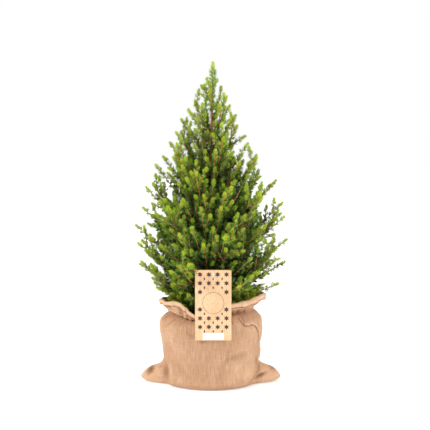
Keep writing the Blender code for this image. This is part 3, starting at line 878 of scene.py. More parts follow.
def side_stem(parent, distance, turn, angle, length, radius, order, lift=0.3):
    """A shoot that leaves its parent's path, or None if it would leave the crown."""
    foot = parent.at(distance)
    heading = parent.heading(distance)
    across, upward = sideways(heading)
    aside = across * math.cos(turn) + upward * math.sin(turn)
    direction = heading * math.cos(angle) + aside * math.sin(angle)
    direction = unit(direction + np.array([0, 0, lift]))
    tip = foot + direction * length
    if not inside_crown(foot, tip, 0.006, REACH_BY_ORDER[order]):
        return None
    path = bent_path(foot, tip, SHOOT_SAG, 5)
    return Stem(path, radius, radius * 0.45, order, depth_in_crown(tip), parent.length - distance)


def spurs(stem, dice):
    """Short side tufts, set in turn all round a shoot."""
    found = []
    distance = 0.006 + dice.uniform(0, SPUR_STEP)
    turn = dice.uniform(0, math.tau)
    while distance < stem.length - TIP_TUFT:
        angle = math.radians(dice.uniform(*SPUR_ANGLE))
        grown = side_stem(stem, distance, turn, angle, dice.uniform(*SPUR_LENGTH), 0.0005, 4, 0.1)
        if grown is not None:
            grown.vigour = stem.vigour
            found.append(grown)
        turn += GOLDEN_ANGLE
        distance += SPUR_STEP * dice.uniform(0.7, 1.3) / stem.fullness**0.4
    return found


def with_laterals(stem, tips, dice):
    """A shoot, the laterals that find room on it, and the short spurs on both."""
    found = [stem, *spurs(stem, dice)]
    distance = 0.15 * stem.length + dice.uniform(0, LATERAL_STEP)
    turn = dice.uniform(0, math.tau)
    while distance < stem.length - max(0.028, stem.clear):
        for _ in range(3):
            angle = math.radians(dice.uniform(*LATERAL_ANGLE))
            length = min(dice.uniform(*LATERAL_LENGTH), 0.008 + (stem.length - distance) * 0.6)
            grown = side_stem(stem, distance, turn, angle, length, 0.0008, 3)
            turn += GOLDEN_ANGLE
            if grown is not None and tips.is_free(grown.points[-1], LATERAL_TIP_SPACING):
                tips.add(grown.points[-1])
                found += [grown, *spurs(grown, dice)]
                break
        distance += LATERAL_STEP * dice.uniform(0.8, 1.3)
    return found


class BetweenBranch(Branch):
    """A slighter branch, by the same rule, that stands between the planned ones."""

    def __init__(self, number, dice, standing=None):
        self.number = number
        self.dice = dice
        self.shoots = []
        self.clear = 0.0
        if standing:
            bearing, tip_height, share = standing
            self.clear = CLEAR_LENGTH if tip_height > LOWEST else LOW_CLEAR_LENGTH
            azimuth = math.radians(bearing - 90)
            climb = math.radians(between(CLIMB, tip_height) - 4)
            self.draw(azimuth, tip_height, crown_reach(tip_height) * share, climb, 0.50)
            return
        azimuth = FIRST_AZIMUTH + 1.2 + number * GOLDEN_ANGLE + dice.uniform(-0.3, 0.3)
        outward = Vector((math.cos(azimuth), math.sin(azimuth), 0))
        if number >= BETWEEN_BRANCHES + SKIRT_BRANCHES + INNER_BRANCHES:
            tip_height = dice.uniform(0.160, 0.187)
            reach = between(MOUTH_ROOM, tip_height) * dice.uniform(0.66, 1.0)
            climb = math.radians(dice.uniform(8, 22))
        elif number >= BETWEEN_BRANCHES + SKIRT_BRANCHES:
            tip_height = dice.uniform(0.205, 0.450)
            reach = crown_reach(tip_height) * dice.uniform(0.28, 0.58)
            climb = math.radians(between(CLIMB, tip_height) + dice.uniform(4, 18))
        elif number < BETWEEN_BRANCHES:
            share = number / (BETWEEN_BRANCHES - 1)
            tip_height = TOP_TIP + 0.012 - (TOP_TIP + 0.012 - LOW_TIP) * share**0.92
            reach = crown_reach(tip_height) * dice.uniform(0.62, 0.90) * (0.8 if outward.y < 0.1 else 1.0)
            climb = math.radians(between(CLIMB, tip_height) + dice.uniform(2, 12))
        else:
            tip_height = dice.uniform(0.176, 0.206)
            reach = crown_reach(tip_height) * dice.uniform(0.60, 0.97)
            climb = math.radians(dice.uniform(14, 32))
        self.draw(azimuth, tip_height, reach, climb, 0.60)

    def draw(self, azimuth, tip_height, reach, climb, bow):
        outward = Vector((math.cos(azimuth), math.sin(azimuth), 0))
        foot = max(tip_height - reach * math.tan(climb), TRUNK_FOOT + 0.014)
        self.start = trunk_axis(foot)
        self.end = Vector((outward.x * reach, outward.y * reach, tip_height))
        rise = tip_height - foot
        self.bend = self.start + outward * reach * bow + Vector((0, 0, rise * (0.98 - bow)))
        self.length = sum(
            (self.at((step + 1) / 8) - self.at(step / 8)).length for step in range(8)
        )

    def radius(self, share):
        return (0.0010 + 0.006 * self.length) * (1 - BOUGH_TAPER * share)


BRANCH_TIP_RADIUS = 0.0009
PLANNED_SHOOT_RADII = (0.0013, 0.0007)  # at foot and tip
LEADER_RADII = (0.0016, 0.0006)
LEADER_OVERLAP = 0.026  # how far below the trunk's top the leader's needles begin
LEADER_FULLNESS = 3.4
LEADER_VIGOUR = 1.25


def grow_crown(branches):
    """Every living stem of the tree, from the planned branches out to the last spur."""
    dice = random.Random(FINE_SEED)
    tips = Tips()
    tips.add(trunk_axis(CROWN_TOP))
    for branch in branches:
        tips.add(branch.end)
        for _, tip in branch.shoots:
            tips.add(tip)
    slighter = []
    for standing in STANDING_SHOOTS:
        branch = BetweenBranch(0, dice, standing)
        if tips.is_free(branch.end, 0.009):
            tips.add(branch.end)
            slighter.append(branch)
    for number in range(BETWEEN_BRANCHES + SKIRT_BRANCHES + INNER_BRANCHES + MOUTH_BRANCHES):
        room = TIP_SPACING if number < BETWEEN_BRANCHES else LATERAL_TIP_SPACING
        for _ in range(6):
            branch = BetweenBranch(number, dice)
            start, end = branch.at(0.5), branch.end
            in_mouth = number >= BETWEEN_BRANCHES + SKIRT_BRANCHES + INNER_BRANCHES
            in_mouth = in_mouth and end.y > -0.072
            if tips.is_free(end, room) and (in_mouth or clear_of_sack_and_card(start, end, 0.006)):
                tips.add(end)
                slighter.append(branch)
                break
    stems = []
    shoots = []
    for branch in [*branches, *slighter]:
        planned = branch not in slighter
        start = BOUGH_END if planned and branch.has_bough() else 0.0
        path = [branch.at(start + (1 - start) * step / 10) for step in range(11)]
        depth = 0.0 if planned else depth_in_crown(branch.end)
        shoots.append(Stem(path, branch.radius(start), BRANCH_TIP_RADIUS, 1, depth))
        shoots[-1].clear = 0.0 if planned else branch.clear
        for foot, tip in branch.shoots:
            path = bent_path(foot, tip, SHOOT_SAG, 7)
            shoots.append(Stem(path, *PLANNED_SHOOT_RADII, 2, depth_in_crown(tip)))
    for branch in [*branches, *slighter]:
        whole = Stem([branch.at(step / 10) for step in range(11)], branch.radius(0), branch.radius(1), 0)
        whole.clear = 0.0 if branch in branches else branch.clear
        shoots += side_shoots(whole, tips, dice, 0.14, SHOOT_STEP, SHOOT_LENGTH)
    trunk = Stem([trunk_axis(height) for height in np.linspace(0.150, 0.63, 40)], 0.006, 0.0015, 0)
    shoots += side_shoots(trunk, tips, dice, 0.0, TRUNK_SHOOT_STEP, TRUNK_SHOOT)
    path = [trunk_axis(height) for height in np.linspace(TRUNK_TOP - LEADER_OVERLAP, CROWN_TOP, 12)]
    leader = Stem(path, *LEADER_RADII, 1, fullness=LEADER_FULLNESS)
    leader.vigour = LEADER_VIGOUR
    for stem in [*shoots, leader]:
        stems += with_laterals(stem, tips, dice)
    return stems


def side_shoots(whole, tips, dice, first, step, lengths):
    """Shoots all along a limb, wherever their tips find room."""
    found = []
    distance = first * whole.length
    turn = dice.uniform(0, math.tau)
    while distance < min(0.84 * whole.length, whole.length - whole.clear):
        for share in (1.0, 0.85, 0.7, 1.0, 0.8, 0.6):
            angle = math.radians(dice.uniform(*SHOOT_ANGLE))
            length = dice.uniform(*lengths) * share
            grown = side_stem(whole, distance, turn, angle, length, 0.0014, 2, SHOOT_LIFT)
            turn += GOLDEN_ANGLE
            if grown is not None and tips.is_free(grown.points[-1], TIP_SPACING):
                tips.add(grown.points[-1])
                found.append(grown)
                break
        distance += step * dice.uniform(0.8, 1.2)
    return found


NEEDLE_TINTS = {
    "tip_a": (0.550, 0.690, 0.060),
    "tip_b": (0.410, 0.570, 0.048),
    "fresh_a": (0.400, 0.590, 0.044),
    "fresh_b": (0.210, 0.360, 0.034),
    "green_a": (0.250, 0.440, 0.052),
    "green_b": (0.118, 0.245, 0.048),
    "dark_a": (0.128, 0.252, 0.038),
    "dark_b": (0.060, 0.134, 0.036),
    # the darkest tints, for old needles inside the crown and for painted shade there
    "deep_a": (0.019, 0.042, 0.010),
    "deep_b": (0.014, 0.032, 0.010),
}
NEEDLE_AGES = ("tip", "fresh", "green", "dark", "deep")


class NeedleBags:
    """Needles gathered by tint, as arrays that are joined into one mesh for each tint."""

    def __init__(self):
        self.bags = {tint: [] for tint in NEEDLE_TINTS}

    def clothe(self, stem, dice, chance):
        """Sets needles in a spiral round one stem, shorter and more forward near its tip."""
        bare = 0.10 * stem.length if stem.order <= 2 else 0.0
        tuft = stem.vigour * min(TIP_TUFT if stem.order < 3 else 0.7 * TIP_TUFT, 0.7 * stem.length)
        kept = DEEP_SHARE if stem.depth > 0.52 else 1.0
        body = np.arange(bare, stem.length - tuft, 1 / NEEDLES_PER_METRE / stem.fullness / kept)
        end = np.arange(max(bare, stem.length - tuft), stem.length, 1 / TUFT_DENSITY / kept)
        distance = np.concatenate([body, end])
        if stem.order == 4:
            distance = np.linspace(0.2, 1.0, round(dice.randint(*SPUR_NEEDLES) * kept)) * stem.length
        if not len(distance):
            return
        count = len(distance)
        left = (stem.length - distance) / stem.vigour
        behind, shares, leans = np.array(TIP_SHAPE).T
        share = np.interp(left, behind, shares) * between(HIGH_NEEDLES, stem.points[-1][2]) * stem.vigour
        lean = np.interp(left, behind, leans)
        if stem.order == 4:
            share = np.full(count, SPUR_NEEDLE)
            lean = SPUR_SPREAD[0] + (SPUR_SPREAD[1] - SPUR_SPREAD[0]) * left / stem.length
        heading = stem.heading(distance)
        across, upward = sideways(heading)
        turn = np.arange(count) * GOLDEN_ANGLE + dice.uniform(0, math.tau) + chance.normal(0, 0.25, count)
        aside = across * np.cos(turn)[:, None] + upward * np.sin(turn)[:, None]
        lean = np.radians(lean + chance.normal(0, 7, count))
        direction = heading * np.cos(lean)[:, None] + aside * np.sin(lean)[:, None]
        direction = unit(direction + np.array([0, 0, 0.10]))
        length = chance.uniform(*NEEDLE_LENGTH, count) * share * chance.uniform(0.8, 1.2, count)
        foot = stem.at(distance) + aside * (stem.radius(distance) * 0.7)[:, None]
        curl = heading * (length * 0.13)[:, None]
        age = self.ages(stem, left, chance)
        letter = "a" if dice.random() < 0.5 else "b"
        for number, kind in enumerate(NEEDLE_AGES):
            chosen = age == number
            if chosen.any():
                tint = kind + "_" + letter
                self.bags[tint].append(
                    np.concatenate([foot, direction, curl, length[:, None]], 1)[chosen]
                )

    def ages(self, stem, left, chance):
        """Which needle colour goes where: soft growth at tips, darker back along the stem, and painted shade
        deep inside and low in the crown.
        """
        left = left * chance.uniform(0.82, 1.2)
        age = np.select([left < SOFT_END, left < TIP_TUFT, left < YOUNG_WOOD], [0, 1, 2], 3)
        if stem.order == 3:
            age = np.select([left < SOFT_END * 0.7, left < TIP_TUFT], [0, 1], 2)
        if stem.order == 4:
            age = int(np.searchsorted(SPUR_AGES, stem.behind / stem.vigour)) + (left > 0.5 * stem.length)
        darker = 0
        # deeper in the crown the needles step to darker tints, both for their greater age and as painted
        # shade; half of the low shoots step one tint darker, as painted shade
        if stem.depth > 0.28:
            darker += 1
        if stem.depth > 0.52:
            darker += 1
        if stem.order > 1 and stem.points[-1][2] < LOW_SHADE and chance.random() < 0.5:
            darker += 1
        if stem.order == 4 and chance.random() < 0.30:
            darker += chance.choice((-1, 1))
        return np.clip(age + darker, 0, 4)

    def pieces(self):
        return [
            needle_piece("needles_" + tint, np.concatenate(bag), tint)
            for tint, bag in self.bags.items()
            if bag
        ]


def mesh_from_arrays(name, points, triangles, smooth=True):
    """A mesh of triangles from arrays, for what is too many to model one by one."""
    mesh = bpy.data.meshes.new(name)
    mesh.vertices.add(len(points))
    mesh.vertices.foreach_set("co", np.asarray(points, np.float32).ravel())
    mesh.loops.add(triangles.size)
    mesh.loops.foreach_set("vertex_index", triangles.ravel().astype(np.int32))
    mesh.polygons.add(len(triangles))
    mesh.polygons.foreach_set("loop_start", np.arange(0, triangles.size, 3, dtype=np.int32))
    mesh.polygons.foreach_set("use_smooth", np.full(len(triangles), smooth))
    mesh.update()
    mesh.validate()
    made = bpy.data.objects.new(name, mesh)
    bpy.context.scene.collection.objects.link(made)
    return made


def needle_piece(name, needles, tint):
    """One joined mesh of needles: each is a slim, slightly curved spindle of four faces."""
    foot, direction, curl, length = needles[:, 0:3], needles[:, 3:6], needles[:, 6:9], needles[:, 9:10]
    across, upward = sideways(direction)
    roll = (np.arange(len(foot)) * GOLDEN_ANGLE)[:, None]
    wide = across * np.cos(roll) + upward * np.sin(roll)
    deep = upward * np.cos(roll) - across * np.sin(roll)
    middle = foot + direction * length * 0.45
    width = NEEDLE_HALF_WIDTH * (0.75 + 0.25 * length / NEEDLE_LENGTH[1])
    width = width * (DEEP_WIDTH if tint.startswith("deep") else 1.0)
    tip = foot + direction * length + curl
    points = np.stack([foot, middle + (wide + deep) * width, middle + (deep - wide) * width, tip], 1)
    points = points.reshape(-1, 3)
    pattern = np.array([(0, 1, 2), (3, 2, 1), (0, 3, 1), (0, 2, 3)])
    triangles = (pattern[None] + 4 * np.arange(len(foot))[:, None, None]).reshape(-1, 3)
    made = mesh_from_arrays(name, points, triangles, smooth=False)
    finish = Finish(name, NEEDLE_TINTS[tint], 0.60, Specular_IOR_Level=0.12)
    dress(made, finish)
    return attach(made, "root")


TWIG_COLOURS = {
    "twig_orange": (0.540, 0.215, 0.050),
    "twig_tan": (0.540, 0.270, 0.080),
    "twig_brown": (0.230, 0.088, 0.026),
}


STEM_STATIONS = {1: 11, 2: 7, 3: 5}  # rings along a tube, by how far out the stem stands
SPUR_STATIONS = 2
STEM_SIDES = {1: 6, 2: 5}
FEWEST_SIDES = 3


def stem_mesh(stem):
    """A closed tapering tube along one stem. Three-sided tubes end in single triangles."""
    sides = STEM_SIDES.get(stem.order, FEWEST_SIDES)
    count = STEM_STATIONS.get(stem.order, SPUR_STATIONS)
    distance = np.linspace(0, stem.length, count)
    middle = stem.at(distance)
    across, upward = sideways(stem.heading(distance))
    radius = stem.radius(distance)
    turns = np.arange(sides) * math.tau / sides
    ring = (
        middle[:, None]
        + (across[:, None] * np.cos(turns)[None, :, None] + upward[:, None] * np.sin(turns)[None, :, None])
        * radius[:, None, None]
    )
    faces = []
    for row in range(count - 1):
        for side in range(sides):
            a, b = row * sides + side, row * sides + (side + 1) % sides
            faces += [(a, b, b + sides), (a, b + sides, a + sides)]
    last = (count - 1) * sides
    if sides == FEWEST_SIDES:
        return ring.reshape(-1, 3), np.array(faces + [(0, 2, 1), (last, last + 1, last + 2)])
    low, high = count * sides, count * sides + 1
    for side in range(sides):
        faces += [(low, (side + 1) % sides, side), (high, last + side, last + (side + 1) % sides)]
    return np.concatenate([ring.reshape(-1, 3), middle[:1], middle[-1:]]), np.array(faces)


INNER_TWIG_DEPTH = 0.45  # stems deeper in the crown than this are all brown
TWIG_TINT_SHARES = (5, 4, 2)


def twig_pieces(stems):
    """All stems as joined tubes, in three tints of young bark dealt out by shoot."""
    dice = random.Random(FINE_SEED + 1)
    bags = {tint: ([], [], 0) for tint in TWIG_TINTS}
    for stem in stems:
        if stem.depth > INNER_TWIG_DEPTH:
            tint = "twig_brown"
        else:
            tint = dice.choices(TWIG_TINTS, TWIG_TINT_SHARES)[0]
        points, faces = stem_mesh(stem)
        held, held_faces, start = bags[tint]
        held.append(points)
        held_faces.append(faces + start)
        bags[tint] = (held, held_faces, start + len(points))
    pieces = []
    for tint, (held, held_faces, _) in bags.items():
        made = mesh_from_arrays(tint, np.concatenate(held), np.concatenate(held_faces))
        dress(made, Finish(tint, TWIG_COLOURS[tint], 0.7))
        pieces.append(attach(made, "root"))
    return pieces


# ---------------------------------------------------------------- trunk and boughs
LIMB_SIDES = 14
BARK_VOXEL = 0.0010
BARK_RELIEF = 0.0009


def drawn_limb(points, radii):
    """A limb extruded from a flat disc, ring by ring."""
    deselect_all()
    lean = (points[-1] - points[0]).to_track_quat("Z", "Y").to_euler()
    bpy.ops.mesh.primitive_circle_add(
        vertices=LIMB_SIDES, radius=radii[0], fill_type="NGON", location=points[0], rotation=lean
    )
    made = bpy.context.object
    bpy.ops.object.mode_set(mode="EDIT")
    bpy.ops.mesh.select_all(action="SELECT")
    for start, end, thick, thin in zip(points, points[1:], radii, radii[1:]):
        bpy.ops.mesh.extrude_region_move(TRANSFORM_OT_translate={"value": end - start})
        size = thin / thick
        bpy.ops.transform.resize(value=(size, size, size), center_override=end)
    bpy.ops.mesh.select_all(action="SELECT")
    bpy.ops.mesh.normals_make_consistent(inside=False)
    bpy.ops.object.mode_set(mode="OBJECT")
    return made


def relief(piece, name, kind, size, strength, **settings):
    texture = bpy.data.textures.new(name, kind)
    texture.noise_scale = size
    for key, value in settings.items():
        setattr(texture, key, value)
    modifier = piece.modifiers.new(name, "DISPLACE")
    modifier.texture = texture
    modifier.texture_coords = "LOCAL"
    modifier.strength = strength
    modifier.mid_level = 0.5


def trunk_and_boughs(branches):
    """The trunk with its boughs grown into it, under one skin of scaly bark."""
    heights = [TRUNK_FOOT + (TRUNK_TOP + 0.004 - TRUNK_FOOT) * (step / 30) ** 1.25 for step in range(31)]
    middle = [trunk_axis(height) for height in heights]
    limbs = [drawn_limb(middle, [trunk_radius(height) for height in heights])]
    for branch in branches:
        if branch.has_bough():
            shares = [BOUGH_END * 1.06 * step / 8 for step in range(9)]
            limbs.append(
                drawn_limb([branch.at(share) for share in shares], [branch.radius(share) for share in shares])
            )
    deselect_all()
    for limb in limbs:
        limb.select_set(True)
    bpy.context.view_layer.objects.active = limbs[0]
    bpy.ops.object.join()
    made = limbs[0]
    made.name = made.data.name = "trunk_and_boughs"
    skin = made.modifiers.new("skin", "REMESH")
    skin.mode = "VOXEL"
    skin.voxel_size = BARK_VOXEL
    skin.use_smooth_shade = True
    relief(made, "bark_scales", "VORONOI", 0.004, BARK_RELIEF)
    relief(made, "bark_lumps", "CLOUDS", 0.011, BARK_RELIEF * 1.4)
    apply_modifiers(made)
    settle(made)
    dress(made, bark_finish())
    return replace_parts(made, "trunk", *(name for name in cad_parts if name.startswith("bough_")))


# ---------------------------------------------------------------- sack
SACK_AROUND = 340
FRONT_DENSITY = 0.40  # how much closer together the mesh's columns stand at the front
SHELL = 0.0012
FOLD_SEED = 19
NECK_FOLDS = 26
GIRTH = 0.100  # mean radius, which turns bearings into lengths along the cloth
HEM_STEPS = 9
HEM_TAIL = (0.0022, 0.0044, 0.0060)  # how far the hem's free edge hangs below its roll
# radius of the rolled hem, and how far the neck stands above its mean height, by bearing in degrees
HEM_ROLL = (
    (-180, 0.0018),
    (-84, 0.0010),
    (-60, 0.0018),
    (-20, 0.0018),
    (12, 0.0024),
    (30, 0.0032),
    (76, 0.0034),
    (96, 0.0020),
    (140, 0.0020),
)
NECK_RISE = (
    (-180, 0.000),
    (-60, 0.002),
    (-30, -0.001),
    (0, 0.000),
    (14, 0.005),
    (30, 0.010),
    (60, 0.010),
    (90, 0.008),
    (130, 0.003),
    (160, 0.000),
)

# a fold's path runs over the cloth as (bearing from the front, positive to the right, height in mm)
# soft folds: path, depth in mm (negative for a ridge), width in mm
SOFT_FOLDS = (
    (((52, 156), (51, 148), (50, 142), (49, 134)), 5.0, 2.0),
    (((67, 152), (67, 141), (61, 135)), 3.6, 2.4),
    (((40, 150), (38, 143), (35, 136)), 3.0, 3.0),
    (((58, 152), (58, 144), (56, 136)), -2.4, 2.4),
    (((28, 140), (29, 147), (31, 151)), 5.0, 1.8),
    (((48, 172), (46, 165), (49, 157)), 3.0, 2.2),
    (((62, 180), (58, 170), (60, 160)), -2.2, 3.0),
    (((72, 184), (70, 172), (74, 160)), 2.8, 2.6),
    (((33, 172), (31, 165), (30, 158)), 2.4, 2.6),
    (((80, 74), (84, 58), (80, 48)), -4.0, 8.0),
    (((58, 66), (46, 62), (33, 54), (26, 42), (25, 26), (28, 10)), -4.0, 8.5),
    (((50, 74), (36, 70), (21, 62), (13, 48), (11, 28), (13, 10)), 1.4, 7.0),
    (((8, 60), (6, 30), (9, 8)), 0.8, 5.0),
    (((-3, 56), (-4, 26), (-2, 6)), 0.7, 4.0),
    (((-14, 40), (-16, 20), (-15, 6)), 0.6, 5.0),
    (((-40, 128), (-52, 118), (-64, 116)), -2.6, 8.0),
    (((-30, 118), (-20, 108), (-4, 104)), 1.8, 9.0),
    (((-66, 150), (-74, 142), (-86, 132)), -2.8, 2.6),
    (((-58, 149), (-68, 140), (-76, 128)), 3.6, 2.4),
    (((-50, 146), (-58, 136), (-66, 126)), -2.0, 3.0),
    (((-44, 144), (-52, 132), (-56, 122)), 2.4, 2.8),
    (((-84, 174), (-70, 168), (-61, 160), (-54, 151)), -3.2, 2.4),
    (((-74, 173), (-64, 168), (-54, 162), (-49, 153)), 3.8, 2.2),
    (((-50, 171), (-48, 162), (-51, 150)), -2.2, 2.4),
    (((-42, 170), (-40, 157), (-43, 145)), 3.6, 2.2),
    (((-35, 170), (-32, 157), (-34, 144)), -3.0, 2.6),
    (((-28, 164), (-26, 154), (-28, 142)), 3.6, 2.0),
    (((150, 120), (146, 90), (154, 60)), 2.2, 7.0),
    (((196, 126), (200, 100), (192, 76)), 2.2, 6.0),
    (((232, 118), (226, 84), (232, 50)), 2.4, 7.0),
    (((120, 60), (136, 44), (150, 36)), 2.4, 7.0),
    (((214, 40), (200, 28), (186, 26)), 1.8, 6.0),
    (((112, 50), (116, 30), (110, 6)), 5.0, 6.0),
    (((246, 50), (242, 30), (250, 6)), 5.0, 6.0),
)
# lapped folds: path, depth and width in mm, how soft its drop is in mm, and how strong the painted shade
# along its drop and the painted highlight on its proud edge are
# the cloth on the left of the path, seen along it, stands proud and then drops
LAPPED_FOLDS = (
    (((36, 141), (35, 134), (37, 129), (40, 126), (45, 125), (50, 126), (56, 124), (61, 119), (64, 112),
      (66, 104), (69, 94), (71, 84)), 3.8, 7.0, 2.2, 1.0),
    (((18, 140), (24, 144), (31, 149), (36, 155), (43, 159), (52, 160)), 5.0, 7.0, 2.4, 1.0),
    (((-66, 152), (-56, 149), (-46, 146), (-38, 142), (-27, 140), (-20, 139), (-8, 139), (6, 140), (16, 140)),
     5.0, 8.0, 2.4, 1.0),
    (((-72, 70), (-65, 58), (-60, 50), (-57, 37), (-56, 21), (-58, 8)), 5.0, 7.0, 8.0, 0.9),
    (((42, 7), (55, 19), (66, 28), (70, 36), (74, 48), (80, 60)), 4.0, 8.0, 6.0, 0.8),
    (((160, 135), (172, 122), (190, 118), (204, 126)), 3.0, 10.0, 2.4, 0.8),
    (((110, 146), (150, 142), (200, 142), (240, 146)), 3.0, 8.0, 2.4, 0.8),
)
# dents: bearing, height in mm, depth in mm, width in mm
DENTS = (
    (-40, 141, 4.0, 3.4),
    (-30, 140, 4.0, 3.0),
    (-22, 139, 3.6, 2.6),
    (44, 30, -2.0, 16.0),
    (36, 20, 1.6, 6.0),
    (0, 84, 1.8, 18.0),
    (-34, 92, -2.2, 22.0),
    (-44, 40, -1.6, 18.0),
    (38, 112, -2.6, 13.0),
    (20, 30, -1.2, 20.0),
    (180, 80, -2.2, 22.0),
)
# hollows pressed straight back: sideways, height, depth, half width and half height in mm, slope, and
# darkness: painted shade above 0, painted light below 0
HOLLOWS = (
    (-122.5, 24.5, 9.0, 7.0, 7.0, 0.5, 1.0),
    (-90.0, 26.0, 5.0, 6.0, 13.0, 0.0, 0.75),
    (-103.0, 33.0, 2.0, 7.0, 3.0, 0.2, 0.3),
    (-104.0, 12.0, 2.5, 9.0, 3.0, 0.0, 0.2),
    (125.0, 27.0, 6.0, 7.5, 4.5, -0.4, 0.55),
    (99.0, 17.0, 9.0, 11.0, 3.0, 0.25, 1.0),
    (91.5, 49.0, 2.0, 2.2, 8.0, 0.0, 0.7),
    (96.0, 34.0, 3.0, 4.0, 10.0, 0.0, 0.5),
    (108.0, 36.0, 2.5, 5.0, 6.0, -0.6, 0.2),
    # the next three paint light: two lit patches low on the right, and a highlight along the body's edge on
    # the left
    (74.0, 30.0, 0.0, 14.0, 16.0, 0.0, -0.5),
    (-80.5, 30.0, -0.5, 2.4, 16.0, 0.0, -0.8),
    (52.0, 36.0, 0.0, 12.0, 18.0, 0.0, -0.45),
    # the last three press nothing back and only paint shade, over the front's middle and lower middle and
    # along its foot
    (0.0, 92.0, 0.0, 60.0, 16.0, 0.0, 0.16),
    (0.0, 4.0, 0.0, 90.0, 7.0, 0.0, 0.22),
    (-20.0, 60.0, 0.0, 34.0, 26.0, 0.0, 0.12),
)
# rows of the mesh, from the middle of the bottom up to each knot of the side's outline
ROW_STEPS = ((3, 8), (7, 18), (8, 11), (9, 20), (10, 17), (12, 17), (15, 32))
PAINTED_LIGHT_COLLAR = 0.75  # how much painted light lightens the cloth there, on the collar and its hem
# the same painted light on the outer ears
PAINTED_LIGHT_EARS = 0.75
WING_PINCH = ((-90, 0.011), (90, 0.008), (180, 0.010))  # how far the mouth is pulled in, by bearing
BACK_RIM = ((-180, 0.008), (-125, 0.008), (-92, 0.003), (-80, 0.0), (100, 0.0), (125, 0.008), (180, 0.008))


def smooth_rows(rows, at):
    """Rows of points along smooth curves through a few given ones (Catmull and Rom's rule)."""
    rows = np.array(rows)
    padded = np.concatenate([2 * rows[:1] - rows[1:2], rows, 2 * rows[-1:] - rows[-2:-1]])
    index = np.minimum(at.astype(int), len(rows) - 2)
    t = (at - index)[:, None, None]
    p0, p1, p2, p3 = (padded[index + step] for step in range(4))
    return 0.5 * (
        2 * p1 + (p2 - p0) * t + (2 * p0 - 5 * p1 + 4 * p2 - p3) * t**2 + (3 * p1 - p0 - 3 * p2 + p3) * t**3
    )


def ear_bulge(angle, height):
    off_axis = np.minimum(np.abs((angle + math.pi / 2) % math.pi - math.pi / 2) / EAR_HALF_ANGLE, 1.0)
    narrowing = 2.0 + height / 0.012
    return EAR_REACH * between(EAR_PROFILE, height) * np.cos(off_axis * math.pi / 2) ** narrowing


# rows under the sack, from its middle outwards: radius, height, share of the corners' bulge
SACK_BOTTOM = ((0.002, 0, 0), (0.045, 0, 0.2), (0.084, 0.0002, 0.7), (0.0965, 0.0030, 0.96))


def sack_grid():
    """The sack's outer skin before its folds: points by row and by bearing."""
    even = np.linspace(0, math.tau, SACK_AROUND, endpoint=False)
    angle = even - FRONT_DENSITY * np.sin(even) - math.pi / 2
    rim = np.array([mouth_height(bearing) for bearing in angle])
    rows = []
    for radius, height, ear_share in SACK_BOTTOM:
        rows.append((radius + ear_share * ear_bulge(angle, max(height, 0.004)), np.full_like(angle, height)))
    for radius, height in SACK_SIDE[1:]:
        rows.append((radius + ear_bulge(angle, height), np.full_like(angle, height)))
    for number, radius in enumerate(MOUTH_FLARE, start=1):
        share = number / len(MOUTH_FLARE)
        height = NECK_HEIGHT + (rim - NECK_HEIGHT) * share
        lean = WING_LEAN * share * np.cos(angle) ** 2
        fold = np.cos(GATHERS * angle)
        rows.append((radius + lean - GATHER_DEPTH * (1 - fold) / 2, height))
    table = np.array([[radius, height] for radius, height in rows]).transpose(0, 2, 1)
    at = [0.0]
    for knot, steps in ROW_STEPS:
        at += list(np.linspace(at[-1], knot, steps + 1)[1:])
    fine = smooth_rows(table, np.array(at))
    radius, height = fine[..., 0], np.maximum(fine[..., 1], 0.0)
    return angle, radius, height


def along_path(bearing, height, path):
    """Each point's distance from a path, which side it is on, and how far along it is."""
    best = np.full(bearing.shape, 1e9)
    side = np.zeros(bearing.shape)
    share = np.zeros(bearing.shape)
    corners = [(math.radians(b) * GIRTH, z / 1000) for b, z in path]
    for number, ((x0, z0), (x1, z1)) in enumerate(zip(corners, corners[1:])):
        dx = (bearing * GIRTH - x0 + math.pi * GIRTH) % (math.tau * GIRTH) - math.pi * GIRTH
        dz = height - z0
        ux, uz = x1 - x0, z1 - z0
        long = ux * ux + uz * uz
        t = np.clip((dx * ux + dz * uz) / long, 0, 1)
        away = np.hypot(dx - ux * t, dz - uz * t)
        closer = away < best
        best = np.where(closer, away, best)
        side = np.where(closer, np.sign(ux * dz - uz * dx), side)
        share = np.where(closer, (number + t) / (len(corners) - 1), share)
    return best, side, share


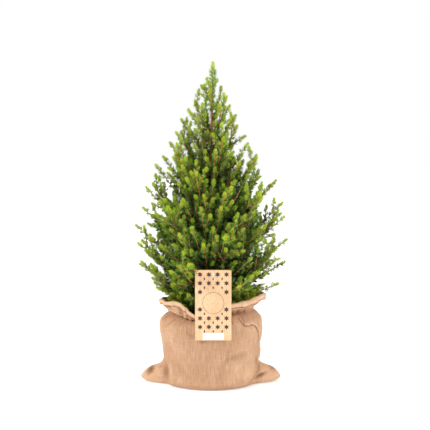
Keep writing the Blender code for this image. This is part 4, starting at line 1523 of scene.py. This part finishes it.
def fold_depths(angle, height):
    """How far the folds push the cloth out, with the painted shade in their valleys and the painted highlight
    beside lapped folds, at every point.
    """
    bearing = np.broadcast_to(angle + math.pi / 2, height.shape)
    push = np.zeros(height.shape)
    painted_shading_mask = np.zeros(height.shape)
    painted_highlight = np.zeros(height.shape)
    folds = list(SOFT_FOLDS)
    dice = random.Random(FOLD_SEED)
    for number in range(NECK_FOLDS):
        at = 360 * (number + dice.uniform(-0.3, 0.3)) / NECK_FOLDS
        down = dice.uniform(9, 26)
        drift = dice.uniform(-6, 6)
        path = ((at, 149), (at + drift * 0.2, 143), (at + drift, 143 - down))
        folds.append((path, dice.uniform(0.8, 2.6), dice.uniform(1.8, 3.2)))
        upward = ((at, 144), (at + dice.uniform(-4, 4), 154), (at + dice.uniform(-7, 7), 178))
        folds.append((upward, dice.uniform(0.8, 2.2), dice.uniform(2.2, 4.2)))
    for path, depth, width in folds:
        away, _, share = along_path(bearing, height, path)
        fade = np.clip(np.minimum(share, 1 - share) * 4 + 0.25, 0, 1)
        near = np.exp(-((away * 1000 / width) ** 2)) * fade
        push -= near * depth / 1000
        # painted shade in the valley of a fold
        if depth > 0:
            painted_shading_mask = np.maximum(painted_shading_mask, near**2 * min(1.0, depth / 4.0) * 0.8)
    for path, depth, width, drop, dark in LAPPED_FOLDS:
        away, side, share = along_path(bearing, height, path)
        fade = np.sin(math.pi * np.clip(share, 0.02, 0.98)) ** 0.5
        proud = np.exp(-away * 1000 / width) * (side > 0)
        under = np.exp(-((away * 1000 / drop) ** 2)) * (side <= 0)
        push += (proud - 0.45 * under) * depth / 1000 * fade
        # painted shade along the drop, and a painted highlight on the proud edge beside it
        painted_shading_mask = np.maximum(painted_shading_mask, under * fade * dark)
        painted_highlight = np.maximum(painted_highlight, np.exp(-((away * 1000 / 2.4) ** 2)) * (side > 0) * fade * dark)
    for at, up, depth, width in DENTS:
        half = math.pi * GIRTH
        dx = (bearing * GIRTH - math.radians(at) * GIRTH + half) % (math.tau * GIRTH) - half
        near = np.exp(-((dx * 1000 / width) ** 2) - ((height * 1000 - up) / width) ** 2)
        push -= near * depth / 1000
        # painted shade in the deepest dents
        if depth > 3:
            painted_shading_mask = np.maximum(painted_shading_mask, near * 0.7)
    return push, np.clip(painted_shading_mask, 0, 1), painted_highlight


def rolled_hem(rim, outward, bearing):
    """Rows that turn the cloth outwards at the rim and hang its free edge below the roll."""
    thick = np.array([between(HEM_ROLL, at) for at in bearing])
    turned = np.radians(bearing)
    thick = thick * (1 + 0.20 * np.sin(turned * 9 + 1.0) + 0.20 * np.sin(turned * 23))
    up = np.array([0.0, 0.0, 1.0])
    rows = []
    for turn in np.radians(np.linspace(24, 205, HEM_STEPS)):
        out = (thick * (1 - math.cos(turn)))[:, None]
        rows.append(rim + outward * out + up * (thick * math.sin(turn))[:, None])
    for down in HEM_TAIL:
        rows.append(rows[HEM_STEPS - 1] - up * down - outward * down * 0.25)
    return np.array(rows)


def sack():
    """The jute sack: a lofted shell with gathers, laps and dents, and a rolled hem, with painted shade and
    painted light held at its points.
    """
    angle, radius, height = sack_grid()
    bearing = np.degrees((angle + math.pi / 2 + math.pi) % math.tau - math.pi)
    push, painted_shading_mask, painted_light = fold_depths(angle, height)
    rim = height[-1][None, :]
    neck_up = np.clip((height - NECK_HEIGHT) / (rim - NECK_HEIGHT), 0, 1)
    for at, pinch in WING_PINCH:
        away = (bearing - at + 180) % 360 - 180
        push = push - neck_up**2 * pinch * np.exp(-((away / 32) ** 2))
    # painted shade in a band just under the collar's overhang
    shade_under_collar = np.exp(-(((height - 0.1395) / 0.0045) ** 2))
    painted_shading_mask = np.maximum(painted_shading_mask, shade_under_collar * 0.35)
    foot = np.clip(height / 0.006, 0, 1)
    radius = radius + push * foot
    rise = np.array([between(NECK_RISE, at) for at in bearing])
    outward = np.stack([np.cos(angle), np.sin(angle), np.zeros_like(angle)], -1)
    raised = height + rise * np.exp(-(((height - NECK_HEIGHT) / 0.014) ** 2))
    points = np.stack([radius * np.cos(angle), radius * np.sin(angle), raised], -1)
    crumple = np.array([noise.noise(Vector(point) * 45) for point in points.reshape(-1, 3)])
    crumple += 0.5 * np.array([noise.noise(Vector(point) * 110) for point in points.reshape(-1, 3)])
    crumple = crumple.reshape(height.shape) * foot * 0.0017
    wave = np.sin(angle * 5 + 0.6) * 0.0012 + np.sin(angle * 11 + 2.0) * 0.0008
    points += outward * crumple[..., None]
    points[..., 2] += (wave - np.array([between(BACK_RIM, at) for at in bearing])) * neck_up**2
    # painted light on the collar and on the outer ears
    painted_light = painted_light + PAINTED_LIGHT_COLLAR * np.clip(neck_up * 4, 0, 1)
    painted_light = painted_light + PAINTED_LIGHT_EARS * np.clip(np.abs(points[..., 0]) / 0.012 - 7.9, 0, 1)
    for sideways_mm, up, deep, wide, tall, slope, dark in HOLLOWS:
        dx = points[..., 0] * 1000 - sideways_mm
        dz = points[..., 2] * 1000 - up - slope * dx
        near = np.exp(-((dx / wide) ** 2) - (dz / tall) ** 2) * (points[..., 1] < 0)
        points[..., 1] += near * deep / 1000
        # painted shade where the darkness is above 0, painted light where it is below 0
        painted_shading_mask = np.maximum(painted_shading_mask, near * dark)
        painted_light = np.maximum(painted_light, -near * dark)
    # painted light enters the mask as values below 0
    painted_shading_mask = painted_shading_mask - painted_light * (1 - painted_shading_mask) ** 3
    hem = rolled_hem(points[-1], outward, bearing)
    points = np.concatenate([points, hem])
    painted_tones = np.zeros((len(hem), len(angle)))
    # painted light on the rolled hem, and painted shade on the two rows of free edge that hang under its roll
    painted_tones[:] = -PAINTED_LIGHT_COLLAR
    painted_tones[-2:] = 0.7
    painted_shading_mask = np.concatenate([painted_shading_mask, painted_tones])
    behind_card = np.abs(points[..., 0] - CARD_SIDEWAYS) < CARD_WIDTH / 2 + 0.004
    behind_card &= (points[..., 1] < 0) & (points[..., 2] > CARD_FOOT - 0.004)
    nearest = CARD_BACK + SHELL + 0.0006
    points[..., 1] = np.where(behind_card, np.maximum(points[..., 1], nearest), points[..., 1])
    return sack_mesh(points, painted_shading_mask)


def sack_mesh(points, painted_shading_mask):
    rows, around = points.shape[:2]
    arc = np.concatenate(
        [np.zeros((1, around)), np.cumsum(np.linalg.norm(np.diff(points, axis=0), axis=2), axis=0)]
    ).mean(axis=1)
    corners = [(row * around + col) for row in range(rows) for col in range(around)]
    pole = len(corners)
    faces = []
    uvs = []
    even = np.linspace(0, math.tau, around + 1)
    along = (even - FRONT_DENSITY * np.sin(even)) * GIRTH
    for row in range(rows - 1):
        for col in range(around):
            nxt = (col + 1) % around
            low, high = row * around, (row + 1) * around
            faces.append((low + col, low + nxt, high + nxt, high + col))
            left, right = along[col], along[col + 1]
            uvs += [(left, arc[row]), (right, arc[row]), (right, arc[row + 1]), (left, arc[row + 1])]
    for col in range(around):
        faces.append((pole, (col + 1) % around, col))
        uvs += [(along[col], 0), (along[col + 1], arc[1]), (along[col], arc[1])]
    mesh = bpy.data.meshes.new("jute_sack")
    flat = points.reshape(-1, 3).tolist() + [(0, 0, 0)]
    mesh.from_pydata(flat, [], faces)
    layer = mesh.uv_layers.new(name="weave")
    layer.data.foreach_set("uv", np.array(uvs, np.float32).ravel())
    # painted shade and painted light, one value per point
    held = mesh.attributes.new("wear", "FLOAT", "POINT")
    held.data.foreach_set("value", np.append(painted_shading_mask.ravel(), 0).astype(np.float32))
    made = bpy.data.objects.new("jute_sack", mesh)
    bpy.context.scene.collection.objects.link(made)
    mesh.shade_smooth()
    wall = made.modifiers.new("cloth", "SOLIDIFY")
    wall.thickness = SHELL
    wall.offset = -1.0
    apply_modifiers(made)
    settle(made)
    dress(made, jute_finish())
    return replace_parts(made, "sack")


# ---------------------------------------------------------------- card
MOTIF_STEP = 0.0172
MOTIF_COLUMNS = 4
MOTIF_ROWS = 8
STAR_REACH = 0.0056
DIAMOND_REACH = 0.0034
RING_UP = 0.0735
RING_REACH = 0.0212
LABEL = (-0.0205, 0.0205, 0.0010, 0.0145)  # left, right, foot and top of the sticker on the card
INK_THICK = 0.00010
CARD_FRONT = CARD_BACK - CARD_THICK


def flat_shape(name, outline, thick=INK_THICK, hole=None):
    """A thin printed shape on the card's face: its outline is (across, up) from its middle."""
    deselect_all()
    bpy.ops.mesh.primitive_circle_add(vertices=len(outline), radius=1, fill_type="NGON", location=(0, 0, 0))
    made = bpy.context.object
    made.name = name
    for corner, (across, up) in zip(made.data.vertices, outline):
        corner.co = (across, -INK_THICK / 4, up)
    bpy.ops.object.mode_set(mode="EDIT")
    bpy.ops.mesh.select_all(action="SELECT")
    if hole:
        bpy.ops.mesh.inset(thickness=hole, depth=0)
        bpy.ops.mesh.delete(type="ONLY_FACE")
        bpy.ops.mesh.select_all(action="SELECT")
    bpy.ops.mesh.extrude_region_move(TRANSFORM_OT_translate={"value": (0, thick, 0)})
    bpy.ops.mesh.select_all(action="SELECT")
    bpy.ops.mesh.normals_make_consistent(inside=False)
    bpy.ops.object.mode_set(mode="OBJECT")
    return made


def star_outline(points, outer, inner, turn=0.0):
    outline = []
    for step in range(points * 2):
        reach = outer if step % 2 == 0 else inner
        bearing = turn + math.pi * step / points
        outline.append((reach * math.sin(bearing), reach * math.cos(bearing)))
    return outline


def placed(piece, across, up):
    piece.location = (CARD_SIDEWAYS + across, CARD_FRONT - INK_THICK / 2, CARD_FOOT + up)
    return piece


def copy_of(piece):
    made = piece.copy()
    made.data = piece.data.copy()
    bpy.context.scene.collection.objects.link(made)
    return made


def join_pieces(name, pieces):
    deselect_all()
    for piece in pieces:
        piece.select_set(True)
    bpy.context.view_layer.objects.active = pieces[0]
    bpy.ops.object.join()
    pieces[0].name = pieces[0].data.name = name
    return pieces[0]


def is_printable(across, up, reach):
    """True if a motif of this reach stays on the card and off the ring, the hole and the sticker."""
    left, right, _, top = LABEL
    off_ring = math.hypot(across, up - RING_UP) > RING_REACH + reach + 0.0008
    off_hole = math.hypot(across, up - CARD_HEIGHT + CARD_HOLE_BELOW_TOP) > CARD_HOLE_RADIUS + reach
    off_label = up - reach > top or not left - reach < across < right + reach
    on_card = abs(across) + reach < CARD_WIDTH / 2 and reach < up < CARD_HEIGHT - reach
    return off_ring and off_hole and off_label and on_card


def card_print():
    """The card's print: stars and small diamonds in a straight grid round a blank ring."""
    star = flat_shape("star", star_outline(6, STAR_REACH, STAR_REACH * 0.52))
    diamond = flat_shape("diamond", star_outline(2, DIAMOND_REACH, DIAMOND_REACH * 0.5))
    turns = np.linspace(0, math.tau, 72, endpoint=False)
    circle = [(RING_REACH * math.sin(turn), RING_REACH * math.cos(turn)) for turn in turns]
    ring = flat_shape("ring", circle, hole=0.0006)
    pieces = [placed(ring, 0, RING_UP)]
    for row in range(MOTIF_ROWS):
        for column in range(MOTIF_COLUMNS):
            across = (column - (MOTIF_COLUMNS - 1) / 2) * MOTIF_STEP
            up = CARD_HEIGHT - 0.0088 - row * MOTIF_STEP
            if is_printable(across, up, STAR_REACH):
                pieces.append(placed(copy_of(star), across, up))
            across, up = across + MOTIF_STEP / 2, up - MOTIF_STEP / 2
            if is_printable(across, up, DIAMOND_REACH):
                pieces.append(placed(copy_of(diamond), across, up))
    for spare in (star, diamond):
        bpy.data.objects.remove(spare)
    made = join_pieces("card_print", pieces)
    settle(made)
    dress(made, ink_finish())
    return made


def card_label():
    left, right, foot, top = LABEL
    high = top - foot
    label = flat_shape("card_label", [(left, 0), (right, 0), (right, high), (left, high)], INK_THICK * 1.5)
    placed(label, 0, foot)
    settle(label)
    dress(label, label_finish())
    return label


# ---------------------------------------------------------------- string
STRANDS = 3
STRAND_TURN = math.tau / 0.0075  # radians of twist for each metre of string


def strand_path(route, number, reach):
    """One strand of the twisted string, as a path that winds round the string's route."""
    points = np.array(route)
    steps = np.linalg.norm(np.diff(points, axis=0), axis=1)
    along = np.concatenate([[0], np.cumsum(steps)])
    fine = np.arange(0, along[-1], 0.0012)
    middle = np.stack([np.interp(fine, along, points[:, axis]) for axis in range(3)], -1)
    heading = unit(np.gradient(middle, axis=0))
    across, upward = sideways(heading)
    turn = fine * STRAND_TURN + number * math.tau / STRANDS
    return middle + (across * np.cos(turn)[:, None] + upward * np.sin(turn)[:, None]) * reach


def curve_tube(name, path, radius, closed=False):
    data = bpy.data.curves.new(name, "CURVE")
    data.dimensions = "3D"
    data.bevel_depth = radius
    data.bevel_resolution = 2
    data.use_fill_caps = not closed
    spline = data.splines.new("POLY")
    spline.points.add(len(path) - 1)
    spline.use_cyclic_u = closed
    for place, point in zip(spline.points, path):
        place.co = (*point, 1.0)
    made = bpy.data.objects.new(name, data)
    bpy.context.scene.collection.objects.link(made)
    deselect_all()
    made.select_set(True)
    bpy.context.view_layer.objects.active = made
    bpy.ops.object.convert(target="MESH")
    return bpy.context.object


def string():
    """Three cotton strands from the trunk to the card, and an overhand knot before its hole."""
    route, _ = string_route()
    hang = route[3:]
    paths = [strand_path(hang, number, STRING_RADIUS * 0.5) for number in range(STRANDS)]
    pieces = [curve_tube("strand", path, STRING_RADIUS * 0.58) for path in paths]
    middle = Vector(route[1]).lerp(Vector(route[2]), 0.5)
    knot = []
    for step in range(72):
        t = math.tau * step / 72
        reach = KNOT_RADIUS * (0.55 + 0.24 * math.cos(3 * t))
        knot.append(
            middle
            + Vector((reach * math.cos(2 * t), KNOT_LENGTH * 0.26 * math.sin(3 * t), reach * math.sin(2 * t)))
        )
    pieces.append(curve_tube("knot", knot, STRING_RADIUS * 1.15, closed=True))
    for tail, way in enumerate((-0.35, 0.3)):
        end = middle + Vector((way * 0.008, -0.0014, -0.009 - 0.002 * tail))
        path = []
        for share in np.linspace(0, 1, 9):
            path.append(middle.lerp(end, share) + Vector((0, -0.0012 * math.sin(math.pi * share), 0)))
        pieces.append(curve_tube("tail", path, STRING_RADIUS * 0.9))
    made = join_pieces("cotton_string", pieces)
    made.data.shade_smooth()
    settle(made)
    dress(made, cotton_finish())
    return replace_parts(made, "card_string")


# ---------------------------------------------------------------- peat
def peat():
    """The potting peat's crumbly top, over a plain plug that fills the pot."""
    low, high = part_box("soil")
    edge = (high.x - low.x) / 2
    deselect_all()
    foot = (0, 0, low.z)
    bpy.ops.mesh.primitive_circle_add(vertices=96, radius=edge * 0.80, fill_type="NGON", location=foot)
    made = bpy.context.object
    made.name = made.data.name = "potting_peat"
    top = POT_HEIGHT + CLOTH + GAP - SOIL_BELOW_RIM
    bpy.ops.object.mode_set(mode="EDIT")
    bpy.ops.mesh.select_all(action="SELECT")
    bpy.ops.mesh.extrude_region_move(TRANSFORM_OT_translate={"value": (0, 0, top - low.z - 0.004)})
    bpy.ops.transform.resize(value=(1.22, 1.22, 1), center_override=(0, 0, top - 0.004))
    bpy.ops.mesh.extrude_region_move(TRANSFORM_OT_translate={"value": (0, 0, 0.003)})
    bpy.ops.transform.resize(value=(0.985, 0.985, 1), center_override=(0, 0, top))
    for _ in range(26):
        bpy.ops.mesh.inset(thickness=edge / 29, depth=SOIL_CROWN / 30)
    bpy.ops.object.mode_set(mode="OBJECT")
    for corner in made.data.vertices:
        if corner.co.z + low.z > top - 0.002:
            spot = Vector((corner.co.x, corner.co.y, 0))
            out = spot.length / edge
            lumps = noise.fractal(spot * 90, 0.7, 2.1, 5)
            corner.co.z += 0.0016 * lumps * min(1.0, 6 * (1 - out) + 0.1)
    made.data.shade_smooth()
    settle(made)
    dress(made, peat_finish())
    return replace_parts(made, "soil")


# ---------------------------------------------------------------- floor, light and camera
VIEW_DISTANCE = 2.20
EYE_HEIGHT = 0.494
AIM_HEIGHT = 0.3410
AIM_SIDEWAYS = 0.0082
FRAME_WIDTH = 0.8762  # what the frame takes in across, at the trunk
SENSOR = 36.0
AMBIENT = 0.40
FLOOR_GLOW = 0.28  # the table is lit a little from below


def floor():
    deselect_all()
    bpy.ops.mesh.primitive_plane_add(size=24, location=(0, 0, -0.0002))
    made = bpy.context.object
    made.name = "floor"
    finish = Finish("pale_floor", (0.93, 0.93, 0.93), 0.9, Emission_Strength=FLOOR_GLOW)
    finish.shader.inputs["Emission Color"].default_value = (1, 1, 1, 1)
    made.data.materials.append(finish.material)


def sun(name, bearing, height, spread, strength):
    """A broad soft light from a bearing, positive to the right of the front, and a height."""
    data = bpy.data.lights.new(name, "SUN")
    data.angle = math.radians(spread)
    data.energy = strength
    made = bpy.data.objects.new(name, data)
    bearing, height = math.radians(bearing), math.radians(height)
    level = math.cos(height)
    towards = Vector((math.sin(bearing) * level, -math.cos(bearing) * level, math.sin(height)))
    made.rotation_euler = towards.to_track_quat("Z", "Y").to_euler()
    bpy.context.scene.collection.objects.link(made)


def lights():
    world = bpy.data.worlds.new("studio")
    world.use_nodes = True
    nodes, links = world.node_tree.nodes, world.node_tree.links
    ambient = nodes["Background"]
    ambient.inputs["Color"].default_value = (1, 1, 1, 1)
    ambient.inputs["Strength"].default_value = AMBIENT
    backdrop = nodes.new("ShaderNodeBackground")
    backdrop.inputs["Color"].default_value = (1, 1, 1, 1)
    path = nodes.new("ShaderNodeLightPath")
    either = nodes.new("ShaderNodeMixShader")
    links.new(path.outputs["Is Camera Ray"], either.inputs["Fac"])
    links.new(ambient.outputs["Background"], either.inputs[1])
    links.new(backdrop.outputs["Background"], either.inputs[2])
    links.new(either.outputs["Shader"], nodes["World Output"].inputs["Surface"])
    bpy.context.scene.world = world
    sun("left_light", -63, 42, 10, 2.20)
    sun("right_light", 62, 36, 14, 1.55)
    sun("top_light", 160, 74, 36, 0.9)
    bpy.context.scene.view_settings.view_transform = "Standard"


def camera():
    place = Vector((AIM_SIDEWAYS, -VIEW_DISTANCE, EYE_HEIGHT))
    aim = Vector((AIM_SIDEWAYS, 0, AIM_HEIGHT))
    data = bpy.data.cameras.new("camera")
    data.sensor_width = SENSOR
    data.lens = SENSOR * (aim - place).length / FRAME_WIDTH
    made = bpy.data.objects.new("camera", data)
    made.location = place
    made.rotation_euler = (aim - place).to_track_quat("-Z", "Y").to_euler()
    bpy.context.scene.collection.objects.link(made)
    bpy.context.scene.camera = made


# ---------------------------------------------------------------- the whole
def main():
    camera()
    floor()
    lights()
    branches = plan_crown()
    trunk_and_boughs(branches)
    stems = grow_crown(branches)
    twigs = twig_pieces(stems)
    foliage = [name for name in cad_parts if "foliage" in name]
    for piece in twigs:
        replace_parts(piece, *foliage)
    dice = random.Random(FINE_SEED + 2)
    chance = np.random.default_rng(FINE_SEED)
    bags = NeedleBags()
    for stem in stems:
        bags.clothe(stem, dice, chance)
    for piece in bags.pieces():
        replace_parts(piece, *foliage)
    sack()
    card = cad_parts["card"]
    dress(card, kraft_finish())
    card_print()
    card_label()
    string()
    dress(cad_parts["pot"], plastic_finish())
    peat()


main()
